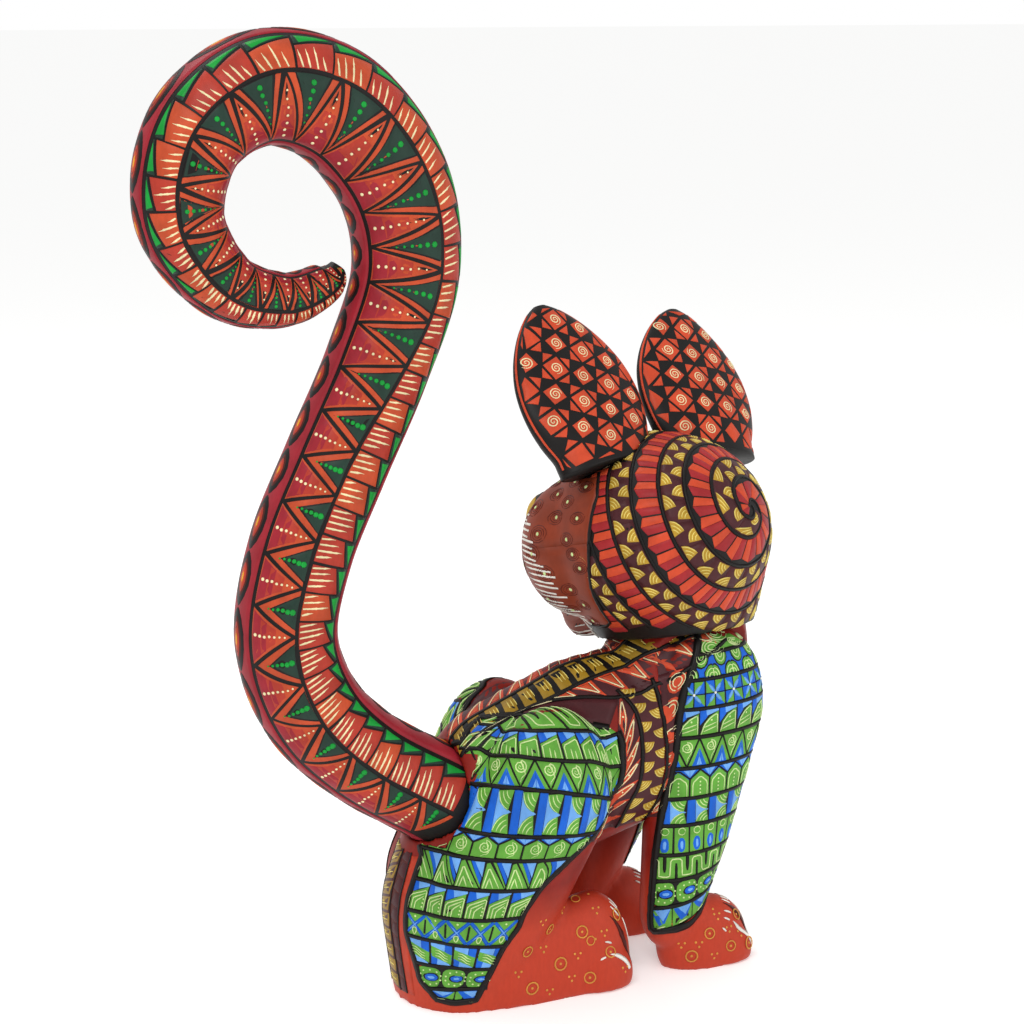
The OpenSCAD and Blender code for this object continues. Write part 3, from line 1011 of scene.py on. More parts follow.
def quarterFan(key, inside, x, y, r, flipX, flipY, arcs=3, pale="paleGold", lift=0.26, squash=1.0):
    # a quarter of a disc that stands in a corner, with pale arcs across it
    a = np.radians(np.linspace(4, 80, 6))
    edge = np.column_stack([x + flipX * r * np.cos(a), y + flipY * r * squash * np.sin(a)])
    fill(key, inside, np.vstack([[[x, y]], edge]), lift=lift, step=3, jitter=0.08)
    for k in range(arcs):
        q = r * (0.94 - 0.24 * k)
        a = np.radians(np.linspace(8, 74, 5))
        line = np.column_stack([x + flipX * q * np.cos(a), y + flipY * q * squash * np.sin(a)])
        stroke((key[0], pale), inside, line, 0.5, lift=lift + 0.12, taper=(0.5, 0.5), step=1.4)


lastAngle = 1120
places = angles(-150, lastAngle, headPaint["fanWidth"], 5.5)
for k, (a, b) in enumerate(zip(places[:-1], places[1:])):
    middle = (a + b) / 2
    if not behindFace(middle, armAt(middle) + 5.5) or petalFoot(middle) - armAt(middle) < 3:
        continue
    n = max(3, int((b - a) / 8) + 2)
    patch(("head", "maroon"), goldBand, np.linspace(a, b + (b - a) * 0.03, n), np.linspace(0.08, 0.93, 5), 0.16)
    inside, w, h = cell(goldBand, a, b, 0, 1)
    r = w * 0.62
    quarterFan(("head", "gold"), inside, w * 0.1, 0.95, r, 1, 1, squash=0.45 * h / r)
    inside, w, h = cell(goldBand, middle, b + (b - a) / 2, 0, 1)
    quarterFan(("head", "gold"), inside, w * 0.1, h - 0.95, r, 1, -1, squash=0.45 * h / r)

places = angles(-425, lastAngle, headPaint["petalWidth"], 17)
for a, b in zip(places[:-1], places[1:]):
    middle = (a + b) / 2
    if not behindFace(middle, (petalFoot(middle) + petalTip(middle)) / 2):
        continue
    inside, w, h = cell(petalBand, a, b, 0, 1)
    foot, e = 0.85, 0.35
    mid = w / 2 + rng.normal(0, 0.2)
    tip, shoulder = h - 1.3 + rng.normal(0, 0.25), h * 0.74
    fill(("head", "deepRed"), inside, [(e, foot), (mid, foot), (mid, tip), (e, shoulder)], jitter=0.08)
    fill(("head", "brightRed"), inside, [(mid, foot), (w - e, foot), (w - e, shoulder), (mid, tip)], jitter=0.08)
# the black lines between the bands stand a little proud
for edge, first in ((armAt, -170), (petalFoot, -270)):
    path = [(a, float(edge(a))) for a in np.arange(first, lastAngle, 7) if behindFace(a, edge(a))]
    run = []
    for p in path + [(1e9, 0)]:
        if run and p[0] - run[-1][0] > 8:
            if len(run) > 3:
                stroke(("head", "black"), wound, run, 1.5, lift=0.34, taper=(0.8, 0.8), step=7)
            run = []
        run.append(p)
print("back of the head painted")


# ---- face: a plain cat's face ----

facePaint = {"middle": (46, 0, -4), "around": (-4, 0, -2), "reach": 46.0, "swirl": 9.6}
frontOfHead = dome(surfaces["head"], headFrame, facePaint["around"], facePaint["middle"], facePaint["reach"])


def onFront(colour, *path, **brush):
    stroke(("head", colour), frontOfHead, *path, **brush)


def faceReach(angle):
    # mm out from the nose to the edge of the face, found by stepping out until the edge is passed
    low, high = 40.0, 110.0
    for _ in range(9):
        out = (low + high) / 2
        p = placeInHead(frontOfHead, angle, out)
        if p[0] > faceEdge(p[2]) and p[2] > headPaint["collar"] - 3:
            low = out
        else:
            high = out
    return low


around = np.linspace(0, 360, 73)
reachAt = np.array([faceReach(a) for a in around])


def faceCanvas(angle, part):
    return frontOfHead(angle, np.interp(angle % 360, around, reachAt) * part)


patch(("head", "rust"), faceCanvas, np.linspace(0, 360, 73), np.linspace(0.02, 1, 34), 0.44)
fill(("head", "rust"), frontOfHead, [(a, 3.0) for a in np.linspace(0, 330, 12)],
     lift=0.45, step=60, centre=(0, 0.0), jitter=0)
onFront("black", [(a, r) for a, r in zip(around, reachAt)], 1.8, lift=0.52, taper=(1, 1), step=5)


def faceSpotOut(y, z):
    # the canvas place of a point given by its left and up in the head, as seen from the front
    return math.degrees(math.atan2(-z, y)) % 360, math.hypot(y, z)


taken = []
tries = rng.uniform(-1, 1, (1500, 2)) * 98
for y, z in tries:
    angle, out = faceSpotOut(y, z)
    nearEyes = abs(y) < 36 and -20 < z < 26 and out < 40
    if out > float(np.interp(angle, around, reachAt)) - 4.5 or out < 16 or z < -62 or nearEyes:
        continue
    if any(math.hypot(y - q[0], z - q[1]) < facePaint["swirl"] for q in taken):
        continue
    taken.append((y, z))
    for r in (2.0, 3.1, 4.3):
        turnFrom = rng.uniform(0, 360)
        loop = []
        for a in np.linspace(turnFrom, turnFrom + 345, 12):
            loop.append(faceSpotOut(y + r * math.cos(math.radians(a)), z + r * math.sin(math.radians(a))))
        if max(p[0] for p in loop) - min(p[0] for p in loop) > 180:
            loop = [(p[0] if p[0] < 180 else p[0] - 360, p[1]) for p in loop]
        onFront("darkRust", loop, 0.55, lift=0.52, taper=(0.6, 0.6), step=9)
    spot(("head", "palest"), frontOfHead, faceSpotOut(y, z), 0.85, 0.58)


def onFace(points):
    return [faceSpotOut(y, z) for y, z in points]


def faceLeaf(s, lower, upper, grow=1.0):
    # a canvas over an eye or the nose: 0 to 1 across it, and 0 to 1 from its lower edge to its upper edge
    low, high = np.array(lower, float), np.array(upper, float)
    middle = (low.mean(0) + high.mean(0)) / 2
    low, high = middle + (low - middle) * grow, middle + (high - middle) * grow

    def at(t, c):
        y = low[0, 0] + (low[-1, 0] - low[0, 0]) * t
        z = np.interp(y, low[:, 0], low[:, 1]) * (1 - c) + np.interp(y, high[:, 0], high[:, 1]) * c
        found = np.array([faceSpotOut(s * a, b) for a, b in zip(y, z)])
        return frontOfHead(found[:, 0], found[:, 1])
    return at


def onLeaf(colour, leaf, lift):
    patch(("head", colour), leaf, np.linspace(0.02, 0.98, 18), np.linspace(0, 1, 10), lift)


for s in (1, -1):
    def half(points, s=s):
        return onFace([(s * y, z) for y, z in points])
    lids = ([(10, 12), (14, 9), (20, 8.5), (27, 10.5), (31.5, 15)],
            [(10, 12), (14, 17.5), (20, 20), (27, 19), (31.5, 15)])
    onLeaf("black", faceLeaf(s, *lids, 1.24), 0.5)
    onLeaf("eye", faceLeaf(s, *lids), 0.62)
    turns = np.linspace(math.pi, 0, 9)
    onLeaf("black", faceLeaf(s, [(20.5 + 2.4 * math.cos(t), 14.2 - 5.2 * math.sin(t)) for t in turns],
                             [(20.5 + 2.4 * math.cos(t), 14.2 + 5.2 * math.sin(t)) for t in turns]), 0.74)
    # the small white dot high on the black pupil is a painted highlight, a glint of light in the eye
    spot(("head", "white"), frontOfHead, faceSpotOut(s * 21.6, 16.6), 0.8, 0.86)
    for k in range(5):
        bend = 2.2 * math.sin(0.8 * k)
        onFront("orange", half([(9 + 5.4 * k, 22.5 + bend), (10.2 + 5.6 * k, 30 + bend)]), 1.1,
                lift=0.56, taper=(0.9, 0.2), step=3)
    # mouth, whisker rows and whiskers
    onFront("black", half([(0.2, -13), (2, -17), (7, -19.5), (13, -18.5), (18, -15)]),
            1.0, lift=0.58, taper=(1, 0.3), step=3)
    for row, z in enumerate((-7, -11, -15)):
        for k in range(3):
            spot(("head", "black"), frontOfHead, faceSpotOut(s * (10 + 3.4 * k), z - 0.5 * k), 0.6, 0.56)
        whisker = half([(21, z - 2 - 1.6 * row), (30, z - 2.5 - 2.5 * row), (41, z - 2 - 3.5 * row)])
        onFront("white", whisker, 0.7, lift=0.6, taper=(1, 0.15), step=4)
nose = ([(-6, 0.5), (-3, -4.5), (0, -6.5), (3, -4.5), (6, 0.5)],
        [(-6, 0.5), (-4.5, 3), (0, 3.8), (4.5, 3), (6, 0.5)])
onLeaf("black", faceLeaf(1, *nose, 1.18), 0.58)
onLeaf("pink", faceLeaf(1, *nose), 0.7)
onFront("black", onFace([(0.1, -6), (0.1, -13)]), 1.0, lift=0.6, taper=(1, 1), step=3)
# white fur strokes fringe the jaw on both sides
for s in (1, -1):
    for t in np.linspace(0, 1, 34):
        angle = (-22 + 102 * t) if s > 0 else (202 - 102 * t)
        out = 33 + 14 * math.sin(math.pi * min(1, t * 1.1)) + rng.normal(0, 0.8)
        reach = 11.5 + rng.normal(0, 1.2)
        onFront("white", [(angle, out), (angle + s * 1.5, out + reach * 0.5), (angle + s * 3.5, out + reach)], 1.0,
                lift=0.62, taper=(0.25, 0.9), step=4)
print("face painted")

# ---- bands of shapes on the haunches and front legs ----


def settled(surface, points):
    # the closest places on a skin
    found, out = np.empty_like(points), np.empty_like(points)
    for i, p in enumerate(points):
        hit, normal, _, _ = surface.find_nearest(Vector(p))
        found[i], out[i] = hit, normal
    return found, out


def measured(points, stations=None):
    # points, how far along each is (0 to 1), length in mm, and the places that two lines of one band share
    length = np.concatenate([[0], np.cumsum(np.linalg.norm(np.diff(points, axis=0), axis=1))])
    part = length / length[-1]
    return points, part, length[-1], part if stations is None else stations


def lineOn(canvas, stops, byAngle=False):
    # a line over the wood through stops given on a canvas
    stops = np.array(stops, float)
    found = []
    for p, q in zip(stops[:-1], stops[1:]):
        count = max(2, int(np.abs(q - p).max() / 4))
        found += [p + (q - p) * t / count for t in range(count)]
    flat = np.array(found + [stops[-1]])
    return measured(canvas(flat[:, 0], flat[:, 1])[0], -flat[:, 0] if byAngle else None)


def lineBy(surface, stops, side=-1):
    # a line over the wood through stops given in space for the cat's right, in mm
    stops = smoothLine([(-side * p[0], p[1], p[2]) for p in stops], 6)
    return measured(settled(surface, stops)[0])


def along(line, t, kind=1):
    return np.column_stack([np.interp(t, line[kind], line[0][:, k]) for k in range(3)])


def between(surface, low, high):
    # the wood between two lines: their shared places along them, and 0 to 1 from the low one to the high one
    def at(t, c):
        t, c = np.asarray(t, float), np.asarray(c, float)[:, None]
        return settled(surface, along(low, t, 3) * (1 - c) + along(high, t, 3) * c)
    return at


class Cell:
    # one cell of a band: its region, its canvas in mm from its corner, and its number in the band
    def __init__(self, region, inside, number):
        self.region, self.inside, self.number = region, inside, number

    def block(self, colour, points, lift=None):
        fill((self.region, colour), self.inside, points, lift=lift, step=3, jitter=0.09)

    def mark(self, colour, points, width=0.62, taper=(0.7, 0.4), lift=0.4):
        stroke((self.region, colour), self.inside, points, width, lift=lift, taper=taper)

    def dot(self, colour, at, radius, lift=None):
        spot((self.region, colour), self.inside, at, radius, lift)

    def fan(self, colour, *shape):
        quarterFan((self.region, colour), self.inside, *shape)


def box(w, h, x, y):
    # a rectangle that stays x and y inside a cell
    return [(x, y), (w - x, y), (w - x, h - y), (x, h - y)]


def cornerWedge(x, w, part, foot, tip):
    # half of a tooth that stands against the side x of a cell
    return [(x - (part * w if x else 0), foot), (x + (0 if x else part * w), foot), (x, tip)]


def oval(x, y, halfWide, halfHigh, count=14):
    a = np.linspace(0, 2 * math.pi, count, endpoint=False)
    return np.column_stack([x + halfWide * np.cos(a), y + halfHigh * np.sin(a)])


def curl(on, x, y, r, end):
    # a pale spiral, and the tail that runs down from it
    path = spiral(x, y, r, 2.3, math.pi * 1.9, 1, 0.1, 22)
    path = np.vstack([path, [[x + r * 0.75, y - r * 0.9], [end[0] + 0.3, (y - r + end[1]) / 2], end]])
    on.mark("palest", path, 0.55, (0.6, 0.4))


def meander(on, w, h):
    on.mark("black", [(0.2, 0.5), (0.1, h * 0.68)], 1.2, (1, 0.6), 0.33)
    on.mark("black", [(w / 2, h - 0.5), (w / 2, h * 0.34)], 1.5, (1, 0.5), 0.33)
    on.mark("palest", [(-0.1, h * 0.85), (w * 0.24, h * 0.84), (w * 0.27, h * 0.17), (w * 0.73, h * 0.15),
                       (w * 0.76, h * 0.84), (w + 0.1, h * 0.85)], 0.6, (1, 1))


def slantHouse(on, w, h, nested=1):
    on.block("blue", [(0.3, h * 0.56), (w * 0.44, h * 0.70), (w * 0.36, h - 0.8), (0.3, h - 0.8)])
    on.block("lightBlue", [(w * 0.40, h * 0.70), (w - 0.3, h * 0.86), (w - 0.3, h - 0.8), (w * 0.32, h - 0.8)], 0.27)
    on.block("green", [(0.5, 0.8), (w - 0.5, 0.8), (w - 0.5, h * 0.86), (0.5, h * 0.54)])
    for i in range(nested):
        o = 1.0 + 1.45 * i
        nest = [(o, 0.9), (o, h * 0.54 - o * 0.7), (w - 0.9 - 0.5 * i, h * 0.80 - o * 0.95), (w - 1.0, 0.9)]
        on.mark("palest", nest[:3 if i else 4], 0.55)
    if nested == 1:
        for x, y in ((0.42, 0.40), (0.62, 0.34)):
            on.mark("palest", [(w * x, 0.9), (w * (x + 0.01), h * y)], 0.5)
    else:
        for y in (0.18, 0.3, 0.42):
            on.dot("palest", (w * 0.8, h * y), 0.4)


def nestedHouse(on, w, h):
    slantHouse(on, w, h, 3)


def spiralTriangle(on, w, h):
    for x in (0, w):
        on.block("blue", cornerWedge(x, w, 0.3, 0.8, h * 0.66), 0.29)
        on.block("lightBlue", cornerWedge(x, w, 0.13, 1.0, h * 0.4), 0.35)
    on.mark("black", [(0.1, h - 0.6), (w / 2, 0.5), (w - 0.1, h - 0.6)], 0.8, (1, 1), 0.36)
    curl(on, w / 2, h * 0.68, min(h * 0.23, w * 0.24), (w * 0.5, h * 0.2))


def barFan(on, w, h):
    on.block("blue", [(0.2, 0.7), (w * 0.36, 0.7), (w * 0.34, h - 0.7), (0.2, h - 0.7)])
    on.block("lightBlue",
             [(w * 0.37, 0.9), (w * 0.5, h * 0.32), (w - 0.2, h * 0.5), (w * 0.5, h * 0.68), (w * 0.35, h - 0.9)])
    for flip, y in ((-1, h - 0.7), (1, 0.7)):
        on.fan("green", w - 0.1, y, w * 0.64, -1, flip, 3, "palest", 0.28, 0.45 * h / (w * 0.64))


def spiralHouse(on, w, h, dots=False):
    on.block("blue", [(-0.1, h * 0.6), (w + 0.1, h * 0.6), (w + 0.1, h - 0.7), (-0.1, h - 0.7)])
    for x in (0, w):
        on.block("lightBlue", cornerWedge(x, w, 0.3, h - 0.8, h * 0.68), 0.28)
    on.block("green", [(0.3, 0.8), (w - 0.3, 0.8), (w - 0.3, h * 0.62), (w / 2, h * 0.9), (0.3, h * 0.62)], 0.32)
    on.mark("black", [(0, 0.6), (0, h * 0.64), (w / 2, h * 0.93), (w, h * 0.64)], 0.8, (1, 1), 0.38)
    if dots:
        on.mark("palest", [(1.2, 0.9), (1.2, h * 0.5), (w / 2, h * 0.72), (w - 1.2, h * 0.5), (w - 1.2, 0.9)],
                0.55, lift=0.5)
        for y in (0.16, 0.28, 0.4, 0.52):
            on.dot("palest", (w / 2, h * y), 0.4, 0.46)
    else:
        curl(on, w / 2, h * 0.5, min(h * 0.28, w * 0.36), (w * 0.42, 1.3))


def dottedHouse(on, w, h):
    spiralHouse(on, w, h, True)


def leaning(on, w, h):
    on.block("green", [(0.3, 0.8), (w - 0.6, 0.8), (w * 0.16, h - 1.0), (0.3, h - 1.6)])
    on.block("green", [(w * 0.24, h - 0.9), (w * 0.38, h - 0.9), (w - 0.2, h * 0.16), (w - 0.2, 0.9)])
    on.block("blue", [(w * 0.40, h - 0.9), (w * 0.58, h - 0.9), (w - 0.3, h * 0.4), (w - 0.3, h * 0.2)])
    on.block("lightBlue", [(w * 0.56, h - 0.9), (w - 0.3, h - 0.9), (w - 0.3, h * 0.42)], 0.26)
    on.mark("palest", [(0.9, 1.0), (w * 0.16, h * 0.76), (w * 0.72, 1.2)], 0.6)
    on.mark("palest", [(w * 0.2, 1.0), (w * 0.25, h * 0.42), (w * 0.48, 1.2)], 0.6)


def lattice(on, w, h):
    for p, q in (((0.3, h - 1.0), (w - 0.3, 1.0)), ((0.3, 1.0), (w - 0.3, h - 1.0))):
        on.mark("blue", [p, q], 1.6, (1, 1), 0.34)
        on.mark("lightBlue", [(p[0] * 0.8 + q[0] * 0.2, p[1] * 0.8 + q[1] * 0.2),
                              (p[0] * 0.35 + q[0] * 0.65,
                               p[1] * 0.35 + q[1] * 0.65)], 0.7, (0.4, 0.4), 0.42)
    on.mark("black", [(0, h * 0.24), (0, h * 0.76)], 0.9, (1, 1), 0.36)
    on.dot("palest", (w / 2, h * 0.82), 0.5)
    drop = [(w / 2 + 0.9 * math.sin(t) * (1 - 0.4 * math.cos(t)), h * 0.26 - 1.5 * math.cos(t))
            for t in np.linspace(-math.pi, math.pi, 11)]
    on.mark("palest", drop, 0.5, (1, 1), 0.46)


def slantBand(on, w, h):
    on.block("lightBlue", [(0.4, h * 0.62), (w * 0.62, h * 0.42), (w * 0.62, h - 0.8), (0.4, h - 0.8)])
    on.block("blue", [(w * 0.62, h * 0.40), (w - 0.5, h * 0.30), (w - 0.5, h - 0.8), (w * 0.62, h - 0.8)])
    on.block("blue", [(0.4, 0.8), (w * 0.3, 0.8), (w * 0.3, h * 0.5), (0.4, h * 0.5)])
    on.block("lightBlue", [(w * 0.28, 0.8), (w - 0.5, 0.8), (w * 0.3, h * 0.42)], 0.26)
    on.block("green", [(0.4, h * 0.82), (0.4, h * 0.40), (w - 0.5, h * 0.10), (w - 0.5, h * 0.52)], 0.3)
    for o in (-1.2, 0, 1.2):
        on.mark("palest", [(w * 0.22, h * 0.55 + o), (w * 0.42, h * 0.53 + o),
                           (w * 0.6, h * 0.38 + o), (w * 0.78, h * 0.34 + o)],
                0.5, (0.3, 0.3), 0.44)


def dottedOval(on, w, h):
    a = np.linspace(0, 2 * math.pi, 14, endpoint=False)
    body = np.column_stack([w / 2 + (w / 2 - 0.3) * np.sign(np.cos(a)) * np.abs(np.cos(a)) ** 0.6,
                            h / 2 + (h / 2 - 0.8) * np.sign(np.sin(a)) * np.abs(np.sin(a)) ** 0.6])
    on.block("green", body)
    for colour, wide, high, lift in (("black", 0.32, 0.2, 0.28),
                                     ("blue", 0.28, 0.16, 0.34), ("lightBlue", 0.16, 0.07, 0.4)):
        on.block(colour, oval(w * 0.62, h / 2, w * wide, h * high), lift)
    for t in np.linspace(0.3, 2 * math.pi - 0.3, 10):
        on.dot("palest", (w * 0.58 - w * 0.42 * math.cos(t), h / 2 + h * 0.31 * math.sin(t)), 0.42)


def capRow(on, w, h):
    on.block("green", [(0.2, 0.6), (w - 0.2, 0.6), (w - 0.2, h - 0.7), (0.2, h - 0.7)])
    on.block("blue", [(0.3, h - 0.8), (w - 0.3, h - 0.8), (w * 0.7, h * 0.3), (w * 0.4, h * 0.2)], 0.28)
    on.block("lightBlue", [(w * 0.22, h - 0.9), (w - 0.4, h - 0.9), (w * 0.6, h * 0.4)], 0.34)
    on.mark("palest", [(w * 0.3, h * 0.12), (w * 0.7, h * 0.16)], 0.6, lift=0.4)


def swirls(on, w, h):
    for x, y in ((0.5, 0.2), (0.02, 0.62), (0.98, 0.66)):
        for r in (0.13, 0.24, 0.35):
            on.mark("palest", arc(x * w, y * h, r * w, 20 if x < 0.9 else 80, 340 if x > 0.1 else 80, 12),
                    0.5, (0.5, 0.5))


def halfOvals(on, w, h):
    a = np.radians(np.linspace(180, 0, 9))
    for x, y, flip in ((w * 0.5, h - 0.8, -1), (w * 0.06, 0.8, 1), (w * 0.94, 0.8, 1)):
        reach = 0.4 if x == w * 0.5 else 0.36

        def bow(wide, high, x=x, y=y, flip=flip):
            return np.column_stack([np.clip(x + wide * w * np.cos(a), 0, w), y + flip * high * np.sin(a)])
        on.block("black", bow(reach, h * 0.52), 0.28)
        on.block("green", bow(reach - 0.05, h * 0.46), 0.34)
        for r in (0.24, 0.12):
            on.mark("palest", bow(r, r * 1.35 * h), 0.5, (0.7, 0.7), 0.46)


def pinwheel(on, w, h):
    on.block("blue", box(w, h, 0.3, 0.7))
    c = (w / 2, h / 2)
    for x, y in (((0.3, h * 0.52), (0.3, h * 0.94)), ((w * 0.52, h - 0.8), (w * 0.94, h - 0.8)),
                 ((w - 0.3, h * 0.48), (w - 0.3, h * 0.06)), ((w * 0.48, 0.8), (w * 0.06, 0.8))):
        on.block("green", [c, x, y], 0.28)
    for a in (45, 135, 225, 315):
        q = (c[0] + 0.42 * w * math.cos(math.radians(a)), c[1] + 0.42 * h * math.sin(math.radians(a)))
        on.mark("lightBlue", [c, q], 1.5, (0.2, 0.5), 0.4)
    on.mark("black", [(0.3, h / 2), (w - 0.3, h / 2)], 0.5, (1, 1), 0.36)
    on.mark("black", [(w / 2, 0.7), (w / 2, h - 0.7)], 0.5, (1, 1), 0.36)
    on.dot("white", c, 0.6, 0.5)


def leafHouse(on, w, h):
    on.block("blue", [(0.2, h * 0.4), (w * 0.4, h * 0.7), (w * 0.34, h - 0.7), (0.2, h - 0.7)])
    on.block("lightBlue", [(w * 0.34, h * 0.72), (w - 0.3, h * 0.86), (w - 0.3, h - 0.7), (w * 0.3, h - 0.7)], 0.27)
    leaf = [(0.4, 0.9), (w - 0.5, 0.9), (w - 0.5, h * 0.84), (w * 0.5, h * 0.68), (w * 0.2, h * 0.44)]
    on.block("green", leaf)
    on.mark("palest", [(0.7, 1.1), (w * 0.24, h * 0.42), (w * 0.52, h * 0.64), (w - 0.9, h * 0.78), (w - 0.9, 1.2)],
            0.55)
    for y in (0.18, 0.32):
        on.mark("palest", [(w * 0.2, h * y), (w - 1.2, h * (y + 0.14))], 0.5)
    on.dot("palest", (w * 0.6, h * 0.56), 0.45)


def ringCapsule(on, w, h):
    on.block("green", box(w, h, 0.3, 0.7))
    on.mark("palest", arc(w / 2, h * 0.8, min(w * 0.24, h * 0.12), 0, 350, 10), 0.5)
    on.block("blue", oval(w / 2, h * 0.34, w * 0.26, h * 0.27, 12), 0.3)
    on.block("lightBlue", oval(w / 2, h * 0.34, w * 0.11, h * 0.17, 12), 0.36)


def haunchCanvas(side):
    # degrees round the haunch from straight ahead, by the outside, to the back, and height in mm, which keeps
    # growing over its top
    axis = haunch["axis"][side]

    def at(angle, h):
        angle, h = np.asarray(angle, float), np.asarray(h, float)
        if side > 0:
            # its back edge stands further from the middle, for the gold stripe lies on this side of it
            angle = angle - 0.16 * np.clip(angle - 110, 0, 100)
        a, e = np.radians(angle), np.maximum(0, (h - haunch["crown"]) / haunch["crownSize"])
        low = np.minimum(h, haunch["crown"])
        origin = np.column_stack([np.full(len(a), axis), -4 - 26 * np.clip(low / 90, 0, 1), low])
        way = np.column_stack([-np.sin(a) * np.cos(e), -np.cos(a) * np.cos(e),
                               np.sin(e) - 0.2 * np.cos(a) * np.cos(e)])
        start = origin + way * rayStart["haunch"]
        flip = np.array([-side, 1, 1])
        return shot(surfaces["torso"], start * flip, -way * flip)
    return at


haunch = {
    # how far out its middle line stands, and where it begins to round over at the top, in mm
    "axis": {-1: -12, 1: -20}, "crown": 85, "crownSize": 33,
    "top": [(203, 120), (200, 127), (186, 134), (130, 136), (80, 135.5), (50, 131), (33, 122), (23.2, 109)],
    "rest": [(23, 107), (26, 101), (27, 93), (40, 80), (60, 67),
             (78, 54), (86.5, 42.6), (86, 37), (95.5, 28), (100, 18),
             (106, 5), (134, 2.4), (156, 2.4), (173,
                                                8), (181,
                                                     26), (182, 57), (200, 70), (226, 87), (188, 106), (203, 120)],
    "lines": [[(194, 117.6), (174, 126), (105, 118), (75, 116), (41, 112), (23.5, 106.5)],
              [(186, 103), (169, 109), (117, 108), (83, 106), (56, 104), (27, 98.5)],
              [(224, 82), (150, 91.5), (117, 94), (86, 94), (60, 92), (28, 88)],
              [(199, 69), (126, 73),
               (41, 77)], [(185, 60), (130, 63), (60, 66.5)], [(182, 48), (137, 50.5), (81, 53)],
              [(181.5, 35.6), (141, 38),
               (89, 41)], [(181, 25.5), (143, 27), (94, 29)], [(177, 15), (143, 17), (99, 19)],
              [(170, 5.5), (137, 8), (97, 10.6)], [(154, 2.4), (134, 2.4), (110, 3)]],
    "rows": [(meander, 10.5, "green"), (slantHouse, 9, None), (spiralTriangle, 11.5, "green"), (barFan, 10.5, None),
             (spiralHouse, 9.8, None), (leaning, 9.5, None), (nestedHouse, 9.5, None), (lattice, 8.5, "green"),
             (slantBand, 9, None), (dottedOval, 9.5, None), (capRow, 9, None)],
}


def paintRows(region, surface, lines, rows):
    # lines run from the back to the front, from the top one down
    for k, (motif, width, ground) in enumerate(rows):
        high, low = lines[k], lines[k + 1]
        row = between(surface, low, high)
        t = np.linspace(min(high[3][0], low[3][0]), max(high[3][-1], low[3][-1]), 60)
        middle = row(t, np.full(60, 0.5))[0]
        length = np.concatenate([[0], np.cumsum(np.linalg.norm(np.diff(middle, axis=0), axis=1))])
        count = max(2, int(round(length[-1] / width)))
        steps = np.interp(np.linspace(0, length[-1], max(6, int(length[-1] / 2.6))), length, t)
        patch((region, "black"), row, steps, np.linspace(-0.03, 1.03, 8))
        if ground:
            patch((region, ground), row, steps, np.linspace(0.07, 0.93, 8), 0.2)
        stops = np.interp(np.arange(count + 1) / count * length[-1], length, t)
        for i in range(count):
            inside, w, h = cell(row, stops[i], stops[i + 1], 0, 1)
            if w > 1.5 and h > 3:
                motif(Cell(region, inside, i), w, h)
    for line in lines[1:-1]:
        drawn(region, surface, line, 1.7, 0.40)


def drawn(region, surface, line, width, lift):
    # a black line of paint that follows a line on the wood
    def at(t, _):
        return settled(surface, along(line, np.clip(t / line[2], 0, 1)))
    stroke((region, "black"), at, [(0.01, 0), (line[2] - 0.01, 0)], width, lift=lift, taper=(1, 1), step=2)


for side, word in ((-1, "Right"), (1, "Left")):
    canvas = haunchCanvas(side)
    region = "haunch" + word
    lines = [lineOn(canvas, stops, True) for stops in [haunch["top"]] + haunch["lines"]]
    paintRows(region, surfaces["torso"], lines, haunch["rows"])
    for edge in (haunch["top"], haunch["rest"]):
        drawn(region, surfaces["torso"], lineOn(canvas, edge), 2.8, 0.46)
print("haunches painted")


def bandCells(region, surface, low, high, ground, width, draw):
    # a band between two lines, on its ground, and one drawing in each of its cells
    row = between(surface, low, high)
    length = (low[2] + high[2]) / 2
    patch((region, ground), row, np.linspace(0, 1, max(4, int(length / 2.5))), np.linspace(-0.02, 1.02, 6), 0.14)
    count = max(1, int(round(length / width)))
    for i in range(count):
        inside, w, h = cell(row, i / count, (i + 1) / count, 0, 1)
        if w > 1.2 and h > 1.8:
            draw(Cell(region, inside, i), w, h)


def roundel(on, w, h):
    r = min(w * 0.46, h * 0.46, 4.8)
    at = (w / 2, h * (0.42 if on.number % 2 else 0.6))
    on.block("brightRed", oval(*at, r, r))
    for q in (0.72, 0.42):
        on.mark("cream", arc(*at, r * q, 10, 352, 14), 0.55, (0.8, 0.8))


# front legs: bands round the outside, from a line inside the front to a line inside the back
frontLeg = {
    "axis": (-18, -106), "front": -40, "heights": [146, 137, 127, 115, 103, 90, 77, 65.4, 52.7, 41.4, 29.4, 18.5],
    "rises": [0, 0, 0, 0, 0, 0, 0, 0, 0.5, 2.5, 6, 13],
    "rear": [(16, 163), (24, 163), (49, 160), (69, 155), (96, 141), (121, 135), (137, 115), (150, 100)],
    "rows": [(swirls, 10, "green"), (halfOvals, 8.5, "blue"), (pinwheel, 9, None), (leafHouse, 9, None),
             (spiralTriangle, 10.5, "green"), (dottedHouse, 8.5, None), (barFan, 9.5, None), (ringCapsule, 6.5, None),
             (meander, 9, "green"), (dottedOval, 9.5, None), (capRow, 9, None)],
}


def rearOfLeg(z):
    return np.interp(z, *np.array(frontLeg["rear"], float).T)


def legCanvas(side):
    def at(angle, z):
        a = np.radians(np.asarray(angle, float))
        z = np.asarray(z, float)
        way = np.column_stack([-np.sin(a), -np.cos(a), np.zeros(len(a))])
        back = setBack["front"] if side > 0 else 0
        origin = np.column_stack([np.full(len(a), frontLeg["axis"][0] - back / 3),
                                  np.full(len(a), frontLeg["axis"][1] + back), z])
        flip = np.array([-side, 1, 1])
        return shot(surfaces["leg%d" % side], (origin + way * rayStart["leg"]) * flip, -way * flip)
    return at


